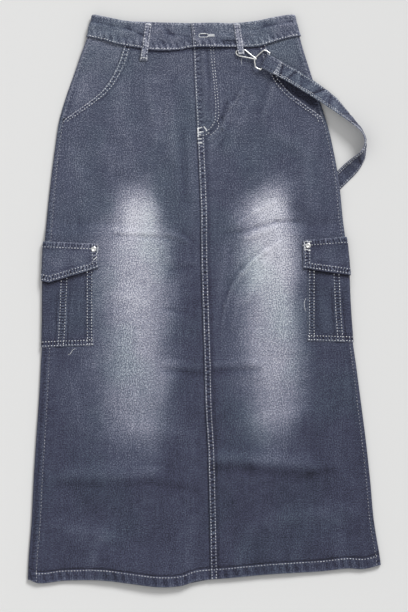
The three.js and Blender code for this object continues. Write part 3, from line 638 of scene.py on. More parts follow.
def washed_denim_group():
    """Colour, roughness and height of twill faded by washing, from the cloth's own flat coordinates;
    the colour carries the painted shade it is given and painted light and shade on seam puckers.
    """
    group = bpy.data.node_groups.new("washed_denim", "ShaderNodeTree")
    face = group.interface
    for way, name, kind in (
        ("INPUT", "Cloth", "Vector"),
        ("INPUT", "Tone", "Float"),
        ("INPUT", "Wear", "Float"),
        ("INPUT", "Shade", "Float"),
        ("INPUT", "Ladder", "Vector"),
        ("OUTPUT", "Colour", "Color"),
        ("OUTPUT", "Roughness", "Float"),
        ("OUTPUT", "Height", "Float"),
    ):
        face.new_socket(name, in_out=way, socket_type="NodeSocket" + kind)
    nodes, links = group.nodes, group.links
    given, result = nodes.new("NodeGroupInput"), nodes.new("NodeGroupOutput")

    def math_node(kind, a, b):
        node = nodes.new("ShaderNodeMath")
        node.operation = kind
        for socket, value in zip(node.inputs, (a, b)):
            if isinstance(value, (int, float)):
                socket.default_value = value
            else:
                links.new(value, socket)
        return node.outputs[0]

    def add(a, b):
        return math_node("ADD", a, b)

    def times(a, b):
        return math_node("MULTIPLY", a, b)

    def less(a, b):
        return math_node("SUBTRACT", a, b)

    def stretched_noise(scale, stretch, detail, name):
        mapping = nodes.new("ShaderNodeMapping")
        mapping.inputs["Scale"].default_value = (stretch[0], stretch[1], 1)
        links.new(given.outputs["Cloth"], mapping.inputs["Vector"])
        noise = noise_texture(nodes, scale, detail, name)
        links.new(mapping.outputs[0], noise.inputs["Vector"])
        return noise.outputs["Fac"]

    apart = nodes.new("ShaderNodeSeparateXYZ")
    links.new(given.outputs["Cloth"], apart.inputs[0])
    drift = stretched_noise(90, (1, 1), 1, "yarn drift")
    diagonal = add(times(apart.outputs[0], 8200), times(apart.outputs[1], 5200))
    twill = math_node("SINE", add(diagonal, times(drift, 30)), 0)
    warp = stretched_noise(420, (1, 0.05), 3, "warp slubs")
    weft = stretched_noise(380, (0.08, 1), 2, "weft slubs")
    speckle = stretched_noise(600, (1, 0.75), 2, "worn nap")
    cloud = stretched_noise(60, (1, 1), 5, "uneven wash")
    scuffs = stretched_noise(240, (1, 1), 4, "scuffed edges")

    def centred(value, amount):
        return times(less(value, 0.5), amount)

    pale = times(given.outputs["Tone"], 0.2)
    grain = times(centred(speckle, 5.1), add(pale, 0.155))
    tone = add(given.outputs["Tone"], grain)
    tone = add(tone, centred(warp, 0.19))
    tone = add(tone, centred(weft, 0.08))
    tone = add(tone, centred(cloud, 0.13))
    tone = add(tone, times(twill, 0.022))
    scuffed = times(times(given.outputs["Wear"], 0.62), math_node("POWER", scuffs, 1.4))
    tone = add(tone, scuffed)
    tone = less(tone, times(given.outputs["Shade"], 0.3))
    seam = nodes.new("ShaderNodeSeparateXYZ")
    links.new(given.outputs["Ladder"], seam.inputs[0])
    # Along double seams the rungs paint light and shade across the puckers and also raise them as bumps, and the
    # band between the rows is darkened as painted shade.
    turns = add(times(seam.outputs[0], 1080), times(cloud, 15))
    rungs = math_node("SINE", turns, 0)
    painted_seam_shade = times(seam.outputs[1], 0.55)
    rungs = times(add(rungs, times(speckle, 0.6)), seam.outputs[1])
    tone = add(tone, times(less(rungs, painted_seam_shade), 0.17))
    casts = stretched_noise(9, (1, 0.8), 2, "green and violet casts")
    tinted = nodes.new("ShaderNodeMix")
    tinted.data_type, tinted.blend_type = "RGBA", "MULTIPLY"
    tinted.inputs[0].default_value = 1
    links.new(colours_at(nodes, links, tone, DENIM_COLOURS), tinted.inputs[6])
    links.new(colours_at(nodes, links, casts, DENIM_CASTS), tinted.inputs[7])
    links.new(tinted.outputs[2], result.inputs["Colour"])
    links.new(less(0.97, times(given.outputs["Shade"], 0.08)), result.inputs["Roughness"])
    height = add(times(twill, 0.3), times(warp, 0.7))
    height = add(height, times(speckle, 0.6))
    height = add(height, times(rungs, 1.6))
    links.new(height, result.inputs["Height"])
    return group


WASHED_DENIM = washed_denim_group()


def denim_material(name):
    material, shader, nodes, links = new_material(name)
    cloth = nodes.new("ShaderNodeUVMap")
    cloth.uv_map = "cloth"
    wash = nodes.new("ShaderNodeVertexColor")
    wash.layer_name = "wash"
    channels = nodes.new("ShaderNodeSeparateColor")
    links.new(wash.outputs["Color"], channels.inputs[0])
    denim = nodes.new("ShaderNodeGroup")
    denim.node_tree = WASHED_DENIM
    links.new(cloth.outputs[0], denim.inputs["Cloth"])
    for socket, channel in (("Tone", 0), ("Wear", 1), ("Shade", 2)):
        links.new(channels.outputs[channel], denim.inputs[socket])
    ladder = nodes.new("ShaderNodeUVMap")
    ladder.uv_map = "ladder"
    links.new(ladder.outputs[0], denim.inputs["Ladder"])
    bump = nodes.new("ShaderNodeBump")
    bump.inputs["Strength"].default_value = 0.5
    bump.inputs["Distance"].default_value = 0.0003
    links.new(denim.outputs["Height"], bump.inputs["Height"])
    links.new(bump.outputs[0], shader.inputs["Normal"])
    links.new(denim.outputs["Colour"], shader.inputs["Base Color"])
    links.new(denim.outputs["Roughness"], shader.inputs["Roughness"])
    shader.inputs["Specular IOR Level"].default_value = 0.25
    shader.inputs["Sheen Weight"].default_value = 0.08
    shader.inputs["Sheen Roughness"].default_value = 0.6
    return material


DENIM = denim_material("denim")


def constant(value):
    return lambda down: value + 0 * down


def down_on(line, column_x, guess):
    """How far down a column of points, whose x changes as it goes, meets a line."""
    down = guess
    for _ in range(6):
        down = line(across_at(column_x(down), down))
    return float(down)


NEAR_WAIST, NEAR_HEM = 50.0, 955.0  # depths to start looking from
TUCK_ROWS = np.array([-TUCK, -4, -0.6])
HEM_ROWS = np.array([20, 18.6, 17.6, 15.5, 12.5, 9.5, 6.5, 4, 2, 0.8, 0])


def panel_columns(places, column_x, rows):
    """Grids of a panel's places, depths, and distances below its waist seam and above its hem."""
    grid = []
    for place in places:
        x_at = lambda down: column_x(place(down), down)
        seam, hem = down_on(waist_seam, x_at, NEAR_WAIST), down_on(hem_line, x_at, NEAR_HEM)
        body = np.linspace(seam + 1, hem - 21.5, rows)
        down = np.concatenate([seam + TUCK_ROWS, body, hem - HEM_ROWS])
        grid.append(np.stack([place(down), down, down - seam, hem - down]))
    return np.stack(grid, axis=-1)


def hem_detail(x, from_hem):
    """Height, wear and shade of the turned-up hem, at a distance up from its edge."""
    inside = ramp(from_hem, HEM_DEPTH + 1, HEM_DEPTH - 0.5)
    rope = puckers(x + 0.25 * from_hem, from_hem - 9, 11, 15) * (0.5 + 0.5 * np.sin(x / 31.0) ** 2)
    groove = hump(from_hem - HEM_DEPTH - 1.5, 1.4)
    height = inside * (HEM_RISE * (1 - 0.2 * hump(from_hem, 1.5)) + 0.2 * rope) - 0.3 * groove
    wear = (
        0.75 * hump(from_hem, 2.2) + 0.4 * hump(from_hem - HEM_DEPTH + 1, 1.6)
        + 0.25 * inside * np.clip(rope, 0, 1)
    )
    shade = 0.8 * groove + 0.5 * inside * np.clip(-rope, 0, 1)
    return height, wear, shade


def side_x(side, along, down):
    return EDGE[side](down) + TURN[side] * (FOLD_REACH + np.maximum(0, np.abs(along) - QUARTER))


def back_panel(side):
    centre_reach = lambda down: along_of(side, centre_x(down) - TURN[side] * GAP / 2, down)
    places = [
        lambda down, s=s: mix(SEAM_IN[side](down), QUARTER, s) for s in (0, 0.1, 0.25, 0.45, 0.7)
    ]
    places += [constant(along) for along in np.linspace(QUARTER, -QUARTER, 11)]
    places += [constant(-along) for along in (7, 11, 16, 22, 29, 36, 44, 54, 64, 76, 88, 98, 112)]
    places += [lambda down, s=s: -mix(112, centre_reach(down), s) for s in (0.2, 0.4, 0.6, 0.8, 1)]
    along, down, from_seam, from_hem = panel_columns(
        places, lambda place, down: side_x(side, place, down), 165
    )
    height, wear, shade = hem_detail(along * 1.3, from_hem)
    on_top = ramp(along, 0, QUARTER)
    inside = SEAM_IN[side](down) - along
    ridge = 0.3 * hump(inside, 2.4) + 0.2 * puckers(down, inside, 7, 9.5)
    lift = (np.maximum(height, -0.2) + ridge * ramp(from_seam, 2, 8)) * on_top
    outer = skin(side, along, down, lift)
    x = outer[..., 0]
    underside = wash_by_height(down) + 0.03 * unevenness(x, down, 50, 9)
    tone = np.where(along > -QUARTER, wash_tone_and_crease_shade(x, down), underside)
    wear = (
        wear + 0.3 * hump(along - 1, 2.5) * (0.6 + 0.4 * unevenness(x, down, 30, 10))
        + 0.5 * hump(inside, 1.6)
    )
    shade = shade + 0.35 * hump(inside - 7, 2.0) * on_top
    weave = np.stack([along * MM, -down * MM], axis=-1)
    wash = np.stack([tone, wear, shade], axis=-1)
    ladder = (down, 0.5 * hump(inside - 3, 3) * on_top)
    inner = skin(side, along, down, -CLOTH)
    return cloth_piece(
        f"denim_back_{side}", outer, inner, weave, wash, ladder, DENIM, f"back_{side}"
    )


backs = {side: back_panel(side) for side in TURN}

# Front panels, left and right.
# The right front laps over the left down the middle, first as the fly and then as a twice-stitched
# seam to the hem. The tops are cut away on a slant for the hip pockets; the hem is turned up once.
LAP = (200, 212, 225, 8, 7, 1.5)  # dip from, dip to, tongue to, reach, step at, step to
FLY_END = 199
FLY_PLEATS = (  # x1, down1, x2, down2, half-width, rise
    (-2, 62, 2, 176, 3, 0.7),
    (4, 62, 7, 108, 2.6, -1.1),
    (7, 108, 8, 170, 3, -0.5),
    (-8, 62, -6, 150, 2.4, -0.5),
    (11, 130, 12.5, 186, 3, 0.5),
    (27, 118, 28.5, 172, 1.8, 0.5),
)
STRAP_SHADE = (121, 107, 186, 149)  # x, down, x, down: what lies closest under the strap's edge
STRAP_SHADE_WIDTH = 6.5
MOUTH_CENTRE = -16
MOUTH_END = 181
MOUTH = (  # down, out from the line between the two pocket mouths
    (40, 116),
    (62, 123),
    (81, 129),
    (100, 138),
    (118, 149),
    (135, 164),
    (152, 186),
    (167, 207),
    (181, 226),
)
mouth_out = line_through(MOUTH)


def mouth_x(side, down):
    return MOUTH_CENTRE - TURN[side] * mouth_out(down)


def front_limit(side, down):
    """Where a front ends on the outside: at the pocket mouth, then at the side seam."""
    seam = seam_x(side, down) + TURN[side] * GAP
    kept = TURN[side] * np.maximum(TURN[side] * seam, TURN[side] * mouth_x(side, down))
    return np.where(np.asarray(down) >= MOUTH_END, seam, kept)


def lap_dip(down):
    return LAYER * ramp(down, LAP[0], LAP[1])


def left_inner(down):
    return centre_x(down) - GAP + (LAP[3] + GAP) * ramp(down, LAP[1], LAP[2])


def front_points(x, down, lift):
    return np.stack([x, down, front_z(x, down) + lift], axis=-1)


def strap_shadow(x, down):
    return 1.7 * hump(distance_to(x, down, *STRAP_SHADE), STRAP_SHADE_WIDTH)


def front_panel(side):
    turn = TURN[side]
    near_edge = (0, 0.7, 1.5, 2.5, 4, 5.5, 7, 8.5, 10, 11.5, 13, 15, 18)
    places = [lambda down, s=s: front_limit(side, down) + turn * s for s in near_edge]
    if side == "left":
        centre_side = [
            lambda down, s=s: centre_x(down) - s for s in (18, 14, 11, 9, 7.5, 6, 4.5, 3, 1.5)
        ]
        centre_side += [
            lambda down, s=s: mix(centre_x(down) - LAP[5], left_inner(down), s) for s in (0.5, 1)
        ]
    else:
        centre_side = [
            lambda down, s=s: centre_x(down) + s
            for s in (18, 14, 12, 10.5, 9, 7.5, 6, 4.5, 3.2, 2, 1, 0.4, 0)
        ]
    start, stop = places[-1], centre_side[0]
    places += [
        lambda down, s=s: mix(start(down), stop(down), s) for s in np.linspace(0, 1, 92)[1:-1]
    ]
    x, down, from_seam, from_hem = panel_columns(
        places + centre_side, lambda place, down: place, 296
    )
    height, wear, shade = hem_detail(x, from_hem)
    inside = (x - front_limit(side, down)) * turn
    at_mouth = ramp(down, MOUTH_END + 3, MOUTH_END - 8)
    mouth_ridge = at_mouth * (0.5 * ramp(inside, 12, 10) + 0.25 * puckers(down, inside - 5, 8, 9))
    seam_ridge = (1 - at_mouth) * (0.4 * ramp(inside, 9, 7) + 0.22 * puckers(down, inside, 8, 9.5))
    lap = pleat_light_and_shade = 0.0
    if side == "left":
        lap = -lap_dip(down) * ramp(centre_x(down) - x, LAP[4], LAP[5])
        shade = shade + 0.7 * hump(centre_x(down) - x, 2.2)
    else:
        over = x - centre_x(down)
        fly = ramp(down, FLY_END + 8, FLY_END - 6)
        seam = 1 - fly
        roping = puckers(down + 0.5 * over, over - 5.5 - 2 * fly, 5.5, 10.5)
        lap = 0.35 * seam * ramp(over, 12, 9.5) + 0.22 * roping + 0.7 * fly * ramp(over, 42, 34)
        lap = lap - 0.3 * seam * hump(over - 12.5, 1.6)
        wear = (
            wear + 0.85 * hump(over, 1.5) + 0.3 * seam * hump(over - 10, 1.8)
            + 0.18 * np.clip(roping, 0, 1)
        )
        pleats = crease_height(FLY_PLEATS, x, down) * fly
        lap = lap + pleats
        # Painted light on the fly pleats' ridges and painted shade in their troughs.
        pleat_light_and_shade = 0.07 * np.clip(pleats, -1.5, 1.5)
        shade = shade + 0.5 * seam * hump(over - 12.5, 2.2) + 0.6 * np.clip(-roping - 0.15, 0, 1)
    lift = (height + mouth_ridge + seam_ridge) * ramp(from_seam, 1, 8) + lap
    tone = wash_tone_and_crease_shade(x, down) + pleat_light_and_shade + HEM_PALER * ramp(from_hem, HEM_DEPTH, HEM_DEPTH - 1)
    wear = (
        wear + (0.8 * at_mouth + 0.25) * hump(inside, 1.8)
        + 0.35 * at_mouth * hump(inside - 10.5, 1.6)
    )
    shade = (
        shade + 0.45 * at_mouth * hump(inside - 13, 2.2) + 0.3 * (1 - at_mouth) * hump(inside, 1.4)
    )
    shade = (
        shade + 1.3 * hump(from_seam - 0.8, 2.4) + 0.25 * hump(from_seam, 7) + strap_shadow(x, down)
    )
    weave = np.stack([x * MM, -down * MM], axis=-1)
    wash = np.stack([tone, wear, shade], axis=-1)
    outer, inner = front_points(x, down, lift), front_points(x, down, np.minimum(lap, 0) - CLOTH)
    between = at_mouth * hump(inside - 5.5, 3.5) + 0.35 * (1 - at_mouth) * hump(inside - 3, 3)
    if side == "right":
        between = between + 0.95 * hump(over - 5.5, 2.8)
    hem_run = (1 - ramp(from_hem, HEM_DEPTH, HEM_DEPTH + 1)) * 0.28
    in_hem = from_hem < HEM_DEPTH + 2
    ladder = (np.where(in_hem, 1.3 * x, 0.78 * down), np.where(in_hem, hem_run, between))
    return cloth_piece(
        f"denim_front_{side}", outer, inner, weave, wash, ladder, DENIM, f"front_{side}"
    )


fronts = {side: front_panel(side) for side in TURN}


def thread_material(name, dark, pale):
    material, shader, nodes, links = new_material(name)
    place = nodes.new("ShaderNodeTexCoord")
    dirt = noise_texture(nodes, 70, 3, "uneven bleach")
    links.new(place.outputs["Object"], dirt.inputs["Vector"])
    colours = colours_at(nodes, links, dirt.outputs["Fac"], ((0.35, dark), (0.68, pale)))
    links.new(colours, shader.inputs["Base Color"])
    shader.inputs["Roughness"].default_value = 0.75
    shader.inputs["Specular IOR Level"].default_value = 0.2
    return material


def stitch_tree():
    """Rounded stitches laid end to end along the edges of a mesh."""
    tree = bpy.data.node_groups.new("stitch_rows", "GeometryNodeTree")
    face = tree.interface
    face.new_socket("Geometry", in_out="OUTPUT", socket_type="NodeSocketGeometry")
    face.new_socket("Geometry", in_out="INPUT", socket_type="NodeSocketGeometry")
    for name in ("Pitch", "Length", "Width", "Unevenness"):
        face.new_socket(name, in_out="INPUT", socket_type="NodeSocketFloat")
    face.new_socket("Seed", in_out="INPUT", socket_type="NodeSocketInt")
    face.new_socket("Thread", in_out="INPUT", socket_type="NodeSocketMaterial")
    nodes, links = tree.nodes, tree.links
    given, result = nodes.new("NodeGroupInput"), nodes.new("NodeGroupOutput")
    row = nodes.new("GeometryNodeMeshToCurve")
    points = nodes.new("GeometryNodeCurveToPoints")
    points.mode = "LENGTH"
    aim = nodes.new("FunctionNodeAlignRotationToVector")
    aim.axis = "X"
    stitch = nodes.new("GeometryNodeMeshUVSphere")
    stitch.inputs["Segments"].default_value = 6
    stitch.inputs["Rings"].default_value = 4
    stitch.inputs["Radius"].default_value = 0.5
    chance = nodes.new("FunctionNodeRandomValue")
    chance.data_type = "FLOAT"
    low, high = nodes.new("ShaderNodeMath"), nodes.new("ShaderNodeMath")
    low.operation, high.operation = "SUBTRACT", "ADD"
    length = nodes.new("ShaderNodeMath")
    length.operation = "MULTIPLY"
    size = nodes.new("ShaderNodeCombineXYZ")
    place = nodes.new("GeometryNodeInstanceOnPoints")
    real = nodes.new("GeometryNodeRealizeInstances")
    smooth = nodes.new("GeometryNodeSetShadeSmooth")
    colour = nodes.new("GeometryNodeSetMaterial")
    low.inputs[0].default_value = high.inputs[0].default_value = 1
    for a, b in (
        (given.outputs["Geometry"], row.inputs["Mesh"]),
        (row.outputs["Curve"], points.inputs["Curve"]),
        (given.outputs["Pitch"], points.inputs["Length"]),
        (points.outputs["Tangent"], aim.inputs["Vector"]),
        (given.outputs["Unevenness"], low.inputs[1]),
        (given.outputs["Unevenness"], high.inputs[1]),
        (low.outputs[0], chance.inputs[2]),
        (high.outputs[0], chance.inputs[3]),
        (given.outputs["Seed"], chance.inputs["Seed"]),
        (chance.outputs[1], length.inputs[0]),
        (given.outputs["Length"], length.inputs[1]),
        (length.outputs[0], size.inputs[0]),
        (given.outputs["Width"], size.inputs[1]),
        (given.outputs["Width"], size.inputs[2]),
        (points.outputs["Points"], place.inputs["Points"]),
        (stitch.outputs["Mesh"], place.inputs["Instance"]),
        (aim.outputs[0], place.inputs["Rotation"]),
        (size.outputs[0], place.inputs["Scale"]),
        (place.outputs[0], real.inputs[0]),
        (real.outputs[0], smooth.inputs[0]),
        (smooth.outputs[0], colour.inputs[0]),
        (given.outputs["Thread"], colour.inputs["Material"]),
        (colour.outputs[0], result.inputs[0]),
    ):
        links.new(a, b)
    return tree


THREAD = thread_material("thread", (0.45, 0.47, 0.52), (0.93, 0.94, 0.97))
WHITE_THREAD = thread_material("white_thread", (0.62, 0.64, 0.67), (0.92, 0.93, 0.94))
STITCHES = stitch_tree()
ABOVE = 6  # rows of thread are drawn this far above the cloth and laid down on it
SEWN = {"Pitch": 5.0, "Length": 2.5, "Width": 1.35}
FINE = {"Pitch": 5.6, "Length": 2.8, "Width": 0.52}
LOOSE = {"Pitch": 0.8, "Length": 1.6, "Width": 0.55}
SATIN = {"Pitch": 0.62, "Length": 1.0, "Width": 0.8}


def surface_of(piece):
    mesh = piece.data
    return BVHTree.FromPolygons(
        [v.co[:] for v in mesh.vertices], [p.vertices[:] for p in mesh.polygons]
    )


def stitched(name, rows, piece, kind=SEWN, proud=0.12, thread=THREAD):
    """Sews rows of thread onto a piece. Each row is a line of points a few millimetres above it."""
    surface = surface_of(piece)
    vertices, edges = [], []
    for row in rows:
        first = len(vertices)
        for point in world_points(row):
            spot = surface.find_nearest(Vector(point))[0]
            outward = Vector(point) - spot
            vertices.append(spot + outward.normalized() * proud * MM)
        edges += [(i, i + 1) for i in range(first, len(vertices) - 1)]
    guide = bpy.data.meshes.new("guide")
    guide.from_pydata(vertices, edges, [])
    holder = bpy.data.objects.new("guide", guide)
    scene.collection.objects.link(holder)
    modifier = holder.modifiers.new("stitches", "NODES")
    modifier.node_group = STITCHES
    wanted = {
        **{key: value * MM for key, value in kind.items()}, "Unevenness": 0.16, "Seed": len(name),
        "Thread": thread
    }
    for item in STITCHES.interface.items_tree:
        if item.in_out == "INPUT" and item.name in wanted:
            modifier[item.identifier] = wanted[item.name]
    holder.update_tag()
    graph = bpy.context.evaluated_depsgraph_get()
    mesh = bpy.data.meshes.new_from_object(holder.evaluated_get(graph))
    for vertex in mesh.vertices:
        vertex.co.z = max(vertex.co.z, 0)
    bpy.data.objects.remove(holder)
    bpy.data.meshes.remove(guide)
    sewn = bpy.data.objects.new(name, mesh)
    scene.collection.objects.link(sewn)
    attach(sewn, "root")
    return sewn


def front_row(column_x, start, end, step=2.0):
    """A row down the front along a line of x at each depth."""
    down = np.linspace(start, end, max(2, int(abs(end - start) / step)))
    return front_points(column_x(down), down, ABOVE)


def front_path(places, step=1.5):
    """A row on the front through x and depth pairs, rounded at the corners."""
    spots = np.array(places, float)
    count = len(spots)
    numbers = np.arange(count)
    fine = np.linspace(0, count - 1, max(2, int(np.hypot(*np.diff(spots, axis=0).T).sum() / step)))
    x, down = (line_through(np.stack([numbers, spots[:, k]], axis=1))(fine) for k in (0, 1))
    return front_points(x, down, ABOVE)


def bartack(x1, down1, x2, down2, wide=1.6):
    """A dense zigzag bar from one place to another."""
    length = math.hypot(x2 - x1, down2 - down1)
    count = max(4, int(length / 0.55))
    t = np.linspace(0, 1, count)
    swing = np.where(np.arange(count) % 2 == 0, -wide / 2, wide / 2)
    x = mix(x1, x2, t) - swing * (down2 - down1) / length
    down = mix(down1, down2, t) + swing * (x2 - x1) / length
    return front_points(x, down, ABOVE)


FLY_STITCH = ((15.5, 55), (16.8, 76), (20.7, 118), (24.4, 160), (22, 189), (8, 202), (-11, 207))
FLY_INNER = ((10.4, 55), (12, 76), (16.5, 118), (19.3, 158), (16.5, 184), (6, 196), (-12, 201))
SEAM_ROWS = (1.8, 9.6)
MOUTH_ROWS = (1.8, 9.2)


def hem_row(start_x, end_x):
    x = np.linspace(start_x, end_x, 160)
    down = np.array([down_on(hem_line, constant(float(v)), NEAR_HEM) for v in x]) - HEM_DEPTH + 1.6
    return front_points(x, down, ABOVE)


def front_stitches(side):
    turn = TURN[side]
    rows = []
    mouth_top = down_on(waist_seam, lambda down: front_limit(side, down), NEAR_WAIST) + 1
    for inside in MOUTH_ROWS:
        rows.append(
            front_row(
                lambda down: front_limit(side, down) + turn * inside, mouth_top, MOUTH_END - 1
            )
        )
    hem_start = float(front_limit(side, 940)) + turn * 0.6
    if side == "left":
        return rows + [hem_row(hem_start, float(centre_x(940)) - 1.5)]
    hem_end = down_on(hem_line, lambda down: centre_x(down) + 2, NEAR_HEM) - 2
    for over in SEAM_ROWS:
        rows.append(front_row(lambda down: centre_x(down) + over, 57 if over < 5 else 205, hem_end))
    rows += [
        front_path(FLY_STITCH), front_path(FLY_INNER), hem_row(float(centre_x(940)) + 1, hem_start)
    ]
    return rows


def side_seam(side):
    low_end = down_on(hem_line, lambda down: front_limit(side, down), NEAR_HEM) - 3
    return front_row(
        lambda down: front_limit(side, down) + TURN[side] * 1.2, MOUTH_END + 3, low_end
    )


FLY_TACKS = (  # x, down, x, down
    (-14, 194, -4, 191),
    (-13, 200, -3, 198),
    (-16, 206, -6, 203),
    (-11, 192, -10, 208),
    (-13.5, 211, -5, 210),
    (-1, 190, 4, 197),
    (-12, 218, -4, 217),
)
LOOSE_THREADS = {  # x and down along each thread
    "left": (((-220, 567), (-224, 570), (-228, 576), (-231, 577)),),
    "right": (((62.6, 75), (62.3, 79), (62.8, 84)), ((172, 482), (169.5, 490), (171.5, 503))),
}
front_threads = {}
for side in TURN:
    hanging = [front_path(thread) for thread in LOOSE_THREADS[side]]
    front_threads[side] = [
        stitched(f"thread_front_{side}", front_stitches(side), fronts[side]),
        stitched(f"thread_side_{side}", [side_seam(side)], fronts[side], FINE),
        stitched(f"thread_loose_{side}", hanging, fronts[side], LOOSE, 0.2, WHITE_THREAD),
    ]
tacks = [bartack(*tack) for tack in FLY_TACKS]
front_threads["right"].append(
    stitched("thread_fly_tacks", tacks, fronts["right"], SATIN, 0.2, WHITE_THREAD)
)
for side in TURN:
    lay_sheet(backs[side])
    lay_sheet(fronts[side], front_threads[side])

# Hip pieces, left and right.
# The cloth that shows inside each slanted pocket mouth, joined in with the side seam, level with
# the front there and dipping under it towards the mouth.
HIP_UNDER = 25
HIP_STEP = 0.6


def seam_rows(place, end, rows):
    """A short column's depths from inside the waistband to an end."""
    seam = down_on(waist_seam, place, NEAR_WAIST)
    return np.concatenate([seam + TUCK_ROWS, np.linspace(seam + 1, end, rows)])


def hip_piece(side):
    turn = TURN[side]
    seam = lambda down: seam_x(side, down) + turn * GAP
    mouth = lambda down: turn * np.maximum(turn * seam(down) + 1, turn * mouth_x(side, down))
    shares = np.concatenate([np.linspace(0, 1, 20), 1 + np.array([0.25, 0.5, 1])])
    columns = []
    for share in shares:
        place = (
            lambda down: mix(seam(down), mouth(down), min(share, 1))
            + turn * HIP_UNDER * max(share - 1, 0)
        )
        down = seam_rows(place, MOUTH_END - 4, 44)
        columns.append(np.stack([place(down), down, share + 0 * down]))
    x, down, share = np.stack(columns, axis=-1)
    dip = -LAYER * ramp(share, 0, HIP_STEP)
    from_seam = np.abs(x - seam(down))
    from_mouth = np.abs(x - mouth(down))
    tone = wash_tone_and_crease_shade(x, down) + 0.04
    wear = 0.5 * hump(from_seam, 1.6) + 0.1 * ramp(unevenness(x, down, 30, 21), 0.2, 1)
    shade = 0.5 * hump(from_mouth, 2) + 0.2 * hump(from_seam - 5, 2) + strap_shadow(x, down)
    lift = dip + 0.25 * puckers(down, from_seam, 6, 9)
    weave = np.stack([x * MM + 0.4, -down * MM], axis=-1)
    wash = np.stack([tone, wear, shade], axis=-1)
    outer, inner = front_points(x, down, lift), front_points(x, down, dip - CLOTH)
    ladder = (down, 0.5 * hump(from_seam - 3, 3))
    return cloth_piece(
        f"denim_hip_{side}", outer, inner, weave, wash, ladder, DENIM, f"hip_piece_{side}"
    )


hips = {side: hip_piece(side) for side in TURN}
for side, hip in hips.items():
    lay_sheet(hip)

# Fly: the closed zip on its tape, and the shield behind it.
# Both are hidden under the right front. The tape is woven polyester; the shield is denim.
FLY_CLOTH = 1
FLY_SHIELD = (-12, 40, LAYER + FLY_CLOTH + GAP)
ZIP = (-10, 24, LAYER)


def tape_material():
    material, shader, nodes, links = new_material("zip_tape")
    place = nodes.new("ShaderNodeTexCoord")
    weave = noise_texture(nodes, 900, 2, "tape weave")
    links.new(place.outputs["Object"], weave.inputs["Vector"])
    stops = ((0, (0.03, 0.033, 0.042)), (1, (0.06, 0.065, 0.08)))
    links.new(colours_at(nodes, links, weave.outputs["Fac"], stops), shader.inputs["Base Color"])
    shader.inputs["Roughness"].default_value = 0.8
    return material


def fly_strip(name, node, span, material):
    start, stop, below = span
    columns = []
    for share in np.linspace(0, 1, 14):
        place = lambda down: centre_x(down) + mix(start, stop, share)
        down = seam_rows(place, FLY_END, 60)
        columns.append(np.stack([place(down), down]))
    x, down = np.stack(columns, axis=-1)
    weave = np.stack([x * MM + 0.8, -down * MM], axis=-1)
    wash = np.stack([wash_tone_and_crease_shade(x, down), 0 * x, 0 * x], axis=-1)
    outer, inner = front_points(x, down, -below), front_points(x, down, -below - FLY_CLOTH)
    return cloth_piece(name, outer, inner, weave, wash, (down, 0), material, node)


COIL = thread_material("zip_coil", (0.05, 0.05, 0.06), (0.12, 0.12, 0.14))
zip_tape = fly_strip("zip_tape", "fly_zip", ZIP, tape_material())
shield = fly_strip("denim_fly_shield", "fly_shield", FLY_SHIELD, DENIM)
TEETH = {"Pitch": 5, "Length": 4.2, "Width": 0.3}
TEETH_PITCH = 2.1


def zip_teeth():
    """One short line for each tooth, across the middle of the tape."""
    middle = (ZIP[0] + ZIP[1]) / 2
    rows = []
    for down in np.arange(66, FLY_END - 8, TEETH_PITCH):
        x = centre_x(down) + middle + np.array([0.0, 1.0])
        rows.append(np.stack([x, [down] * 2, front_z(x, down) - LAYER + 0.3], axis=-1))
    return rows


teeth = stitched("zip_teeth", zip_teeth(), zip_tape, TEETH, 0.05, COIL)
lay_sheet(shield)
lay_sheet(zip_tape, [teeth])

# Waistband, with its buttonhole and button.
# One folded strip of denim, from the underlap round the left side, the back and the right side to
# the lap, which lies over the underlap and over the shank button sewn to it.
WAIST_TOP = (  # share across, down
    (0, 0),
    (0.09, 5.8),
    (0.16, 10.2),
    (0.24, 12.2),
    (0.41, 13.8),
    (0.5, 14.5),
    (0.62, 13.9),
    (0.7, 14.6),
    (0.82, 10.4),
    (0.9, 4.8),
    (0.97, 0.9),
    (1, 0),
)
UNDERLAP = 40
BUTTON = (16, 36, 8, 1.2)  # along, down, radius, height
OVERLAP = (  # along, rise of the lap
    (0, BAND_CLOTH + GAP),
    (4, BAND_CLOTH + BUTTON[3] + 2 * GAP),
    (28, BAND_CLOTH + BUTTON[3] + 2 * GAP),
    (46, BAND_CLOTH + GAP),
    (66, 0),
)
BAND_MIDDLE = 36
BUTTONHOLE = (
    (-6.5, 35.4, 10, 2.0, 14)  # x, down, length and half-height of its eye, length of its slit
)
BAND_CREASES = (  # x1, down1, x2, down2, half-width, rise
    (-191, 12, -157, 18.5, 2, -0.9),
    (-157, 18.5, -127, 25, 2.2, -0.5),
    (-127, 25, -101, 37, 1.7, -1.2),
    (-84, 30.5, -74, 24.5, 1.8, 0.8),
    (-74, 24.5, -69, 37, 1.8, 0.8),
    (-65, 25, -50, 39, 2, -0.9),
    (-62, 32, -25, 37.5, 1.7, -0.9),
    (-81, 39, -70, 49, 2, -0.8),
    (-55, 49, -42, 39, 2.2, 0.8),
    (98, 21, 149, 11, 2, -0.9),
    (74, 35.5, 98, 37, 1.6, -0.8),
    (80, 27, 98, 23.5, 1.8, -0.6),
    (36, 46.5, 52, 46, 2.6, -1.7),
    (26, 34, 47, 39, 3, 0.6),
    (-140, 34, -118, 40, 3, 0.5),
)
waist_top = line_through(WAIST_TOP)


def band_x(across, down):
    centre = centre_x(down)
    left = mix(EDGE["left"](down) + FOLD_REACH, centre, 2 * across)
    right = mix(centre, EDGE["right"](down) - FOLD_REACH, 2 * across - 1)
    return np.where(across < 0.5, left, right)


HALF_WIDTH = {
    "left": float(centre_x(BAND_MIDDLE) - EDGE["left"](BAND_MIDDLE) - FOLD_REACH),
    "right": float(EDGE["right"](BAND_MIDDLE) - FOLD_REACH - centre_x(BAND_MIDDLE)),
}


def across_from(along):
    return 0.5 + 0.5 * along / HALF_WIDTH["left" if along < 0 else "right"]


def lap_rise(along):
    return np.interp(along, [row[0] for row in OVERLAP], [row[1] for row in OVERLAP])


